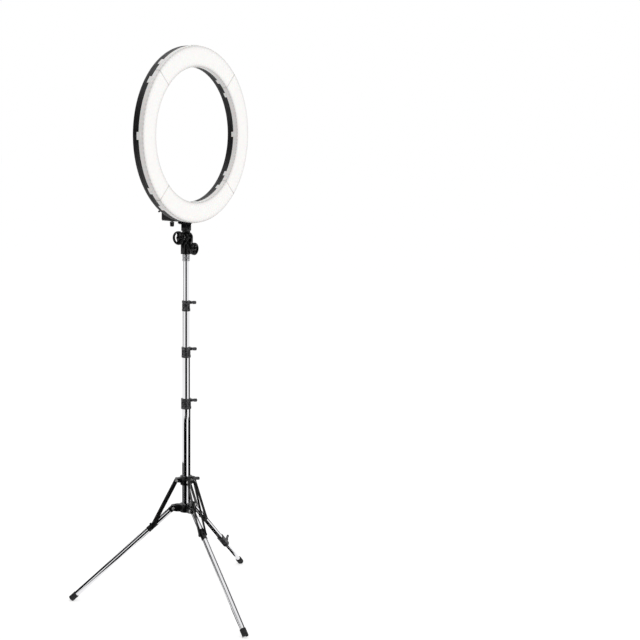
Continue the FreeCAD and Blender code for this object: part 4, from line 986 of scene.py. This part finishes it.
def build_level_clamp():
    """The clamp on the levelling leg, with close rings turned into its ends."""
    start, long, skin, seat, throat = 221, 51, 10.2, 8.05, 6.8
    outline = [(seat, 0), (skin - 0.6, 0), (skin, 0.6)]
    for s in (3.0, 5.0, 7.0, 42.0, 44.0):
        outline += [(skin, s - 0.5), (skin - 0.5, s), (skin, s + 0.5)]
    outline += [(skin, long - 0.8), (skin - 0.8, long), (throat, long), (throat, long - 14),
                (seat, long - 14)]
    mesh = bmesh.new()
    lathe(mesh, [(r * MM, s * MM) for r, s in outline], 64, along_leg(1, start))
    boss = [(0, 9), (5.6, 9), (5.6, 13.2), (5.1, 13.7), (2.6, 13.7), (2.6, 12), (0, 12)]
    turned(mesh, [(r * MM, s * MM) for r, s in boss], 36,
           basis(joint_place("leg_lock"), joint_axis("leg_lock"), UP))
    piece("level_clamp_casting", mesh, "casting", "leg_1",
          ["level_clamp"])


def build_sleeve(leg):
    """The sleeve around the leg where its brace ends, with rolled rims and a peg on top."""
    joint, long, bore, skin = 80.8, 32, 8.05, 8.8
    outline = [(bore, 0), (skin - 0.2, 0), (skin, 0.3), (skin, 2.4), (skin - 0.35, 3.0),
               (skin - 0.35, long - 3.0), (skin, long - 2.4), (skin, long - 0.3),
               (skin - 0.2, long), (bore, long)]
    mesh = bmesh.new()
    lathe(mesh, [(r * MM, s * MM) for r, s in outline], 64, along_leg(leg, joint - long / 2))
    peg = [(0, 8.2), (3, 8.2), (3, 10.4), (2.4, 11), (0, 11.05)]
    turned(mesh, [(r * MM, s * MM) for r, s in peg], 28,
           leg_line(leg) @ Matrix.Translation((joint * MM, 0, 0)))
    node = f"brace_sleeve_{leg}"
    piece(f"{node}_pressing", mesh, "brace", f"leg_{leg}", [node])


class RINGLIGHT_OT_legs(bpy.types.Operator):
    """Build the three legs with their fittings and sleeves"""
    bl_idname = "ringlight.legs"
    bl_label = "Legs"

    def execute(self, context):
        for leg in LEGS:
            keep(f"leg_tube_{leg}", "chrome")
            softened(f"leg_end_{leg}", "bracket", sizes().edge_round)
            build_sleeve(leg)
        keep("level_tube", "chrome")
        build_level_clamp()
        return {"FINISHED"}


class RINGLIGHT_OT_braces(bpy.types.Operator):
    """Build the flat braces"""
    bl_idname = "ringlight.braces"
    bl_label = "Braces"

    def execute(self, context):
        for leg in LEGS:
            softened(f"brace_{leg}", "brace", 0.3 * MM)
        return {"FINISHED"}


class RINGLIGHT_OT_feet(bpy.types.Operator):
    """Build the rubber feet with their grip grooves"""
    bl_idname = "ringlight.feet"
    bl_label = "Feet"

    def execute(self, context):
        for leg in LEGS:
            self.build_foot(leg)
        return {"FINISHED"}

    def build_foot(self, leg):
        """A ridged cap, cut flat where it stands on the floor. Its tip has no end face."""
        reach, pivot, long, floor, skin = 333, 37.5, 23, 20, 9
        end = (reach - pivot) / leg_line(leg).to_3x3().col[0].xy.length
        bore = (6.5 if leg == 1 else 8.0) + 0.05
        walls = [(0, floor), (bore, floor), (bore, 0), (8.4, 0), (skin, 0.6)]
        s = 3.0
        while s < 19:
            walls += [(skin, s - 0.6), (8.5, s - 0.2), (8.5, s + 0.2), (skin, s + 0.6)]
            s += sizes().foot_ridge / MM
        walls += [(skin, 21.6), (8.6, 22.6), (7.6, long)]
        mesh = bmesh.new()
        turned(mesh, [(r * MM, s * MM) for r, s in reversed(walls)], 64,
               along_leg(leg, end - long))
        everything = mesh.verts[:] + mesh.edges[:] + mesh.faces[:]
        cut = bmesh.ops.bisect_plane(mesh, geom=everything, plane_co=(0, 0, 0),
                                     plane_no=(0, 0, -1), clear_outer=True)
        rim = [e for e in cut["geom_cut"] if isinstance(e, bmesh.types.BMEdge)]
        bmesh.ops.edgenet_fill(mesh, edges=rim)
        node = f"foot_{leg}"
        piece(f"{node}_cap", mesh, "rubber", body_with(node), [node])


# ---------------------------------------------------------------- studio

CAMERA_PLACE = Vector((-2.8389, -2.1610, 1.4309))
CAMERA_AIM = Vector((0.84349, 0.51087, -0.16593))
CAMERA_ROLL = 0.0177
CAMERA_LENS = 71.72
FLOOR_LIFT = 0.62


def stage_piece(name, mesh, material):
    """Turn a bmesh into an object of the stage."""
    data = bpy.data.meshes.new(name)
    mesh.to_mesh(data)
    mesh.free()
    data.materials.append(material)
    item = bpy.data.objects.new(name, data)
    bpy.context.scene.collection.objects.link(item)
    return item


def build_floor():
    """A wide flat floor, just under the feet."""
    half, drop = 20, 0.0005
    mesh = bmesh.new()
    mesh.faces.new([mesh.verts.new((x, y, -drop)) for x, y in (
        (-half, -half), (half, -half), (half, half), (-half, half))])
    stage_piece("studio_floor", mesh, floor_material())


def either(tree, first, second):
    """1 where either of two values is 1."""
    larger = add(tree, "ShaderNodeMath", [(0, first), (1, second)], operation="MAXIMUM")
    return larger.outputs[0]


def floor_material():
    """Seamless paper: near white, lifted just to white where it is seen or mirrored, so that
    the shadow of the object stays on it."""
    material, tree, shader = new_material("studio_paper", linear("#ededed"), Roughness=0.9,
                                          Specular_IOR_Level=0)
    rays = add(tree, "ShaderNodeLightPath").outputs
    seen = either(tree, rays["Is Camera Ray"], rays["Is Glossy Ray"])
    level = add(tree, "ShaderNodeMath", [(0, seen)], operation="MULTIPLY")
    level.inputs[1].default_value = FLOOR_LIFT
    shader.inputs["Emission Color"].default_value = (1, 1, 1, 1)
    tree.links.new(level.outputs[0], shader.inputs["Emission Strength"])
    return material


def card_material():
    """Black flock: it shows only as the dark stripes in polished metal."""
    return new_material("black_flock", linear("#050505"), Roughness=1.0,
                        Specular_IOR_Level=0)[0]


def card(name, start, end, corners, material):
    """A dark strip bent around the mast, from one (radius, height) to another.
    Angles are in degrees from the camera's side, growing to its right."""
    toward = math.degrees(math.atan2(CAMERA_PLACE.y, CAMERA_PLACE.x))
    steps = round((end - start) / 4)
    mesh = bmesh.new()
    rows = []
    for n in range(steps + 1):
        angle = math.radians(toward + start + (end - start) * n / steps)
        rows.append([mesh.verts.new((r * math.cos(angle), r * math.sin(angle), z))
                     for r, z in corners])
    for here, there in zip(rows, rows[1:]):
        mesh.faces.new((here[0], here[1], there[1], there[0]))
    item = stage_piece(name, mesh, material)
    item.visible_camera = item.visible_diffuse = item.visible_shadow = False


# Name, start and end in degrees, then the strip's two edges as (radius, height) in metres.
CARDS = (
    ("mast_card", -29, 29, ((2.2, 0.0), (2.2, 2.6))),
    ("mast_edge_card", 78, 150, ((2.2, 0.0), (2.2, 0.3))),
    ("far_edge_card", -172, -115, ((2.2, 0.3), (2.2, 0.74))),
    ("head_card", -118, -48, ((2.2, 0.76), (2.2, 2.8))),
    ("head_right_card", 46, 125, ((2.2, 0.76), (2.2, 2.8))),
    ("leg_card", -60, 20, ((0.16, 0.003), (0.9, 0.003))),
    ("near_leg_card", -125, -68, ((0.55, 0.003), (0.55, 0.26))),
    ("far_leg_card", 98, 141, ((0.12, 0.0), (0.34, 0.0))),
    ("leg_card_far", 142, 205, ((0.05, 0.003), (0.3, 0.003))),
    ("floor_card_left", -64, 14, ((0.9, 0.003), (2.2, 0.003))),
    ("floor_card_right", 54, 150, ((0.9, 0.003), (2.2, 0.003))),
)


def build_cards():
    """Black cards around the object, unseen by the camera, that polished tubes reflect."""
    flock = card_material()
    for name, start, end, corners in CARDS:
        card(name, start, end, corners, flock)


def build_lamps():
    """Three large soft lamps."""
    for name, place, size, power in (("key", (-1.6, -2.4, 2.6), 1.6, 8),
                                     ("fill", (1.8, -2.2, 1.8), 2.0, 4),
                                     ("top", (0.2, 0.4, 3.2), 2.2, 6)):
        light = bpy.data.lights.new(name, "AREA")
        light.energy, light.size, light.shape = power, size, "DISK"
        item = bpy.data.objects.new(name, light)
        item.matrix_world = basis(Vector(place), Vector(place) - Vector((0, 0, 0.8)))
        bpy.context.scene.collection.objects.link(item)


def build_world():
    """White wherever it is seen or mirrored, and a plain level where it lights surfaces."""
    world = bpy.data.worlds.new("studio")
    bpy.context.scene.world = world
    world.use_nodes = True
    tree = world.node_tree
    tree.nodes.clear()
    rays = add(tree, "ShaderNodeLightPath").outputs
    direct = either(tree, rays["Is Camera Ray"], rays["Is Glossy Ray"])
    seen = either(tree, direct, rays["Is Transmission Ray"])
    level = add(tree, "ShaderNodeMapRange", [("Value", seen)], To_Min=0.45, To_Max=1.0)
    sky = add(tree, "ShaderNodeBackground", [("Strength", level.outputs["Result"])])
    sky.inputs["Color"].default_value = (1, 1, 1, 1)
    add(tree, "ShaderNodeOutputWorld", [("Surface", sky.outputs["Background"])])


def build_camera():
    """The camera, at about eye height and turned to the ring's left side."""
    lens = bpy.data.cameras.new("studio_camera")
    lens.lens, lens.sensor_width = CAMERA_LENS, 36
    item = bpy.data.objects.new("studio_camera", lens)
    right = CAMERA_AIM.cross(UP).normalized()
    up = right.cross(CAMERA_AIM).normalized()
    turned_right = right * math.cos(CAMERA_ROLL) + up * math.sin(CAMERA_ROLL)
    turned_up = up * math.cos(CAMERA_ROLL) - right * math.sin(CAMERA_ROLL)
    axes = Matrix((turned_right, turned_up, -CAMERA_AIM.normalized())).transposed()
    item.matrix_world = Matrix.Translation(CAMERA_PLACE) @ axes.to_4x4()
    bpy.context.scene.collection.objects.link(item)
    bpy.context.scene.camera = item


class RINGLIGHT_OT_studio(bpy.types.Operator):
    """Build the floor, the cards, the light and the camera"""
    bl_idname = "ringlight.studio"
    bl_label = "Studio"

    def execute(self, context):
        build_floor()
        build_cards()
        build_lamps()
        build_world()
        build_camera()
        context.scene.view_settings.view_transform = "Standard"
        return {"FINISHED"}


# ---------------------------------------------------------------- add-on

OPERATORS = (
    RINGLIGHT_OT_ring, RINGLIGHT_OT_control_box, RINGLIGHT_OT_dimmer_knob,
    RINGLIGHT_OT_bracket, RINGLIGHT_OT_hand_wheels, RINGLIGHT_OT_socket, RINGLIGHT_OT_mast,
    RINGLIGHT_OT_clamps, RINGLIGHT_OT_wing_screws, RINGLIGHT_OT_hub, RINGLIGHT_OT_collar,
    RINGLIGHT_OT_legs, RINGLIGHT_OT_braces, RINGLIGHT_OT_feet, RINGLIGHT_OT_studio)


class RINGLIGHT_PT_panel(bpy.types.Panel):
    """Every piece's operator, in building order."""
    bl_label = "Ring Light"
    bl_idname = "RINGLIGHT_PT_panel"
    bl_space_type = "VIEW_3D"
    bl_region_type = "UI"
    bl_category = "Ring Light"

    def draw(self, context):
        for operator in OPERATORS:
            self.layout.operator(operator.bl_idname)


CLASSES = (RingLightSizes, RingLightColours, *OPERATORS, RINGLIGHT_PT_panel)


def register():
    for item in CLASSES:
        bpy.utils.register_class(item)
    bpy.types.Scene.ring_light_sizes = bpy.props.PointerProperty(type=RingLightSizes)
    bpy.types.Scene.ring_light_colours = bpy.props.PointerProperty(type=RingLightColours)


def unregister():
    del bpy.types.Scene.ring_light_colours
    del bpy.types.Scene.ring_light_sizes
    for item in reversed(CLASSES):
        bpy.utils.unregister_class(item)


def main():
    register()
    for operator in OPERATORS:
        family, name = operator.bl_idname.split(".")
        getattr(getattr(bpy.ops, family), name)()
    bpy.context.view_layer.update()


if __name__ == "__main__":
    main()
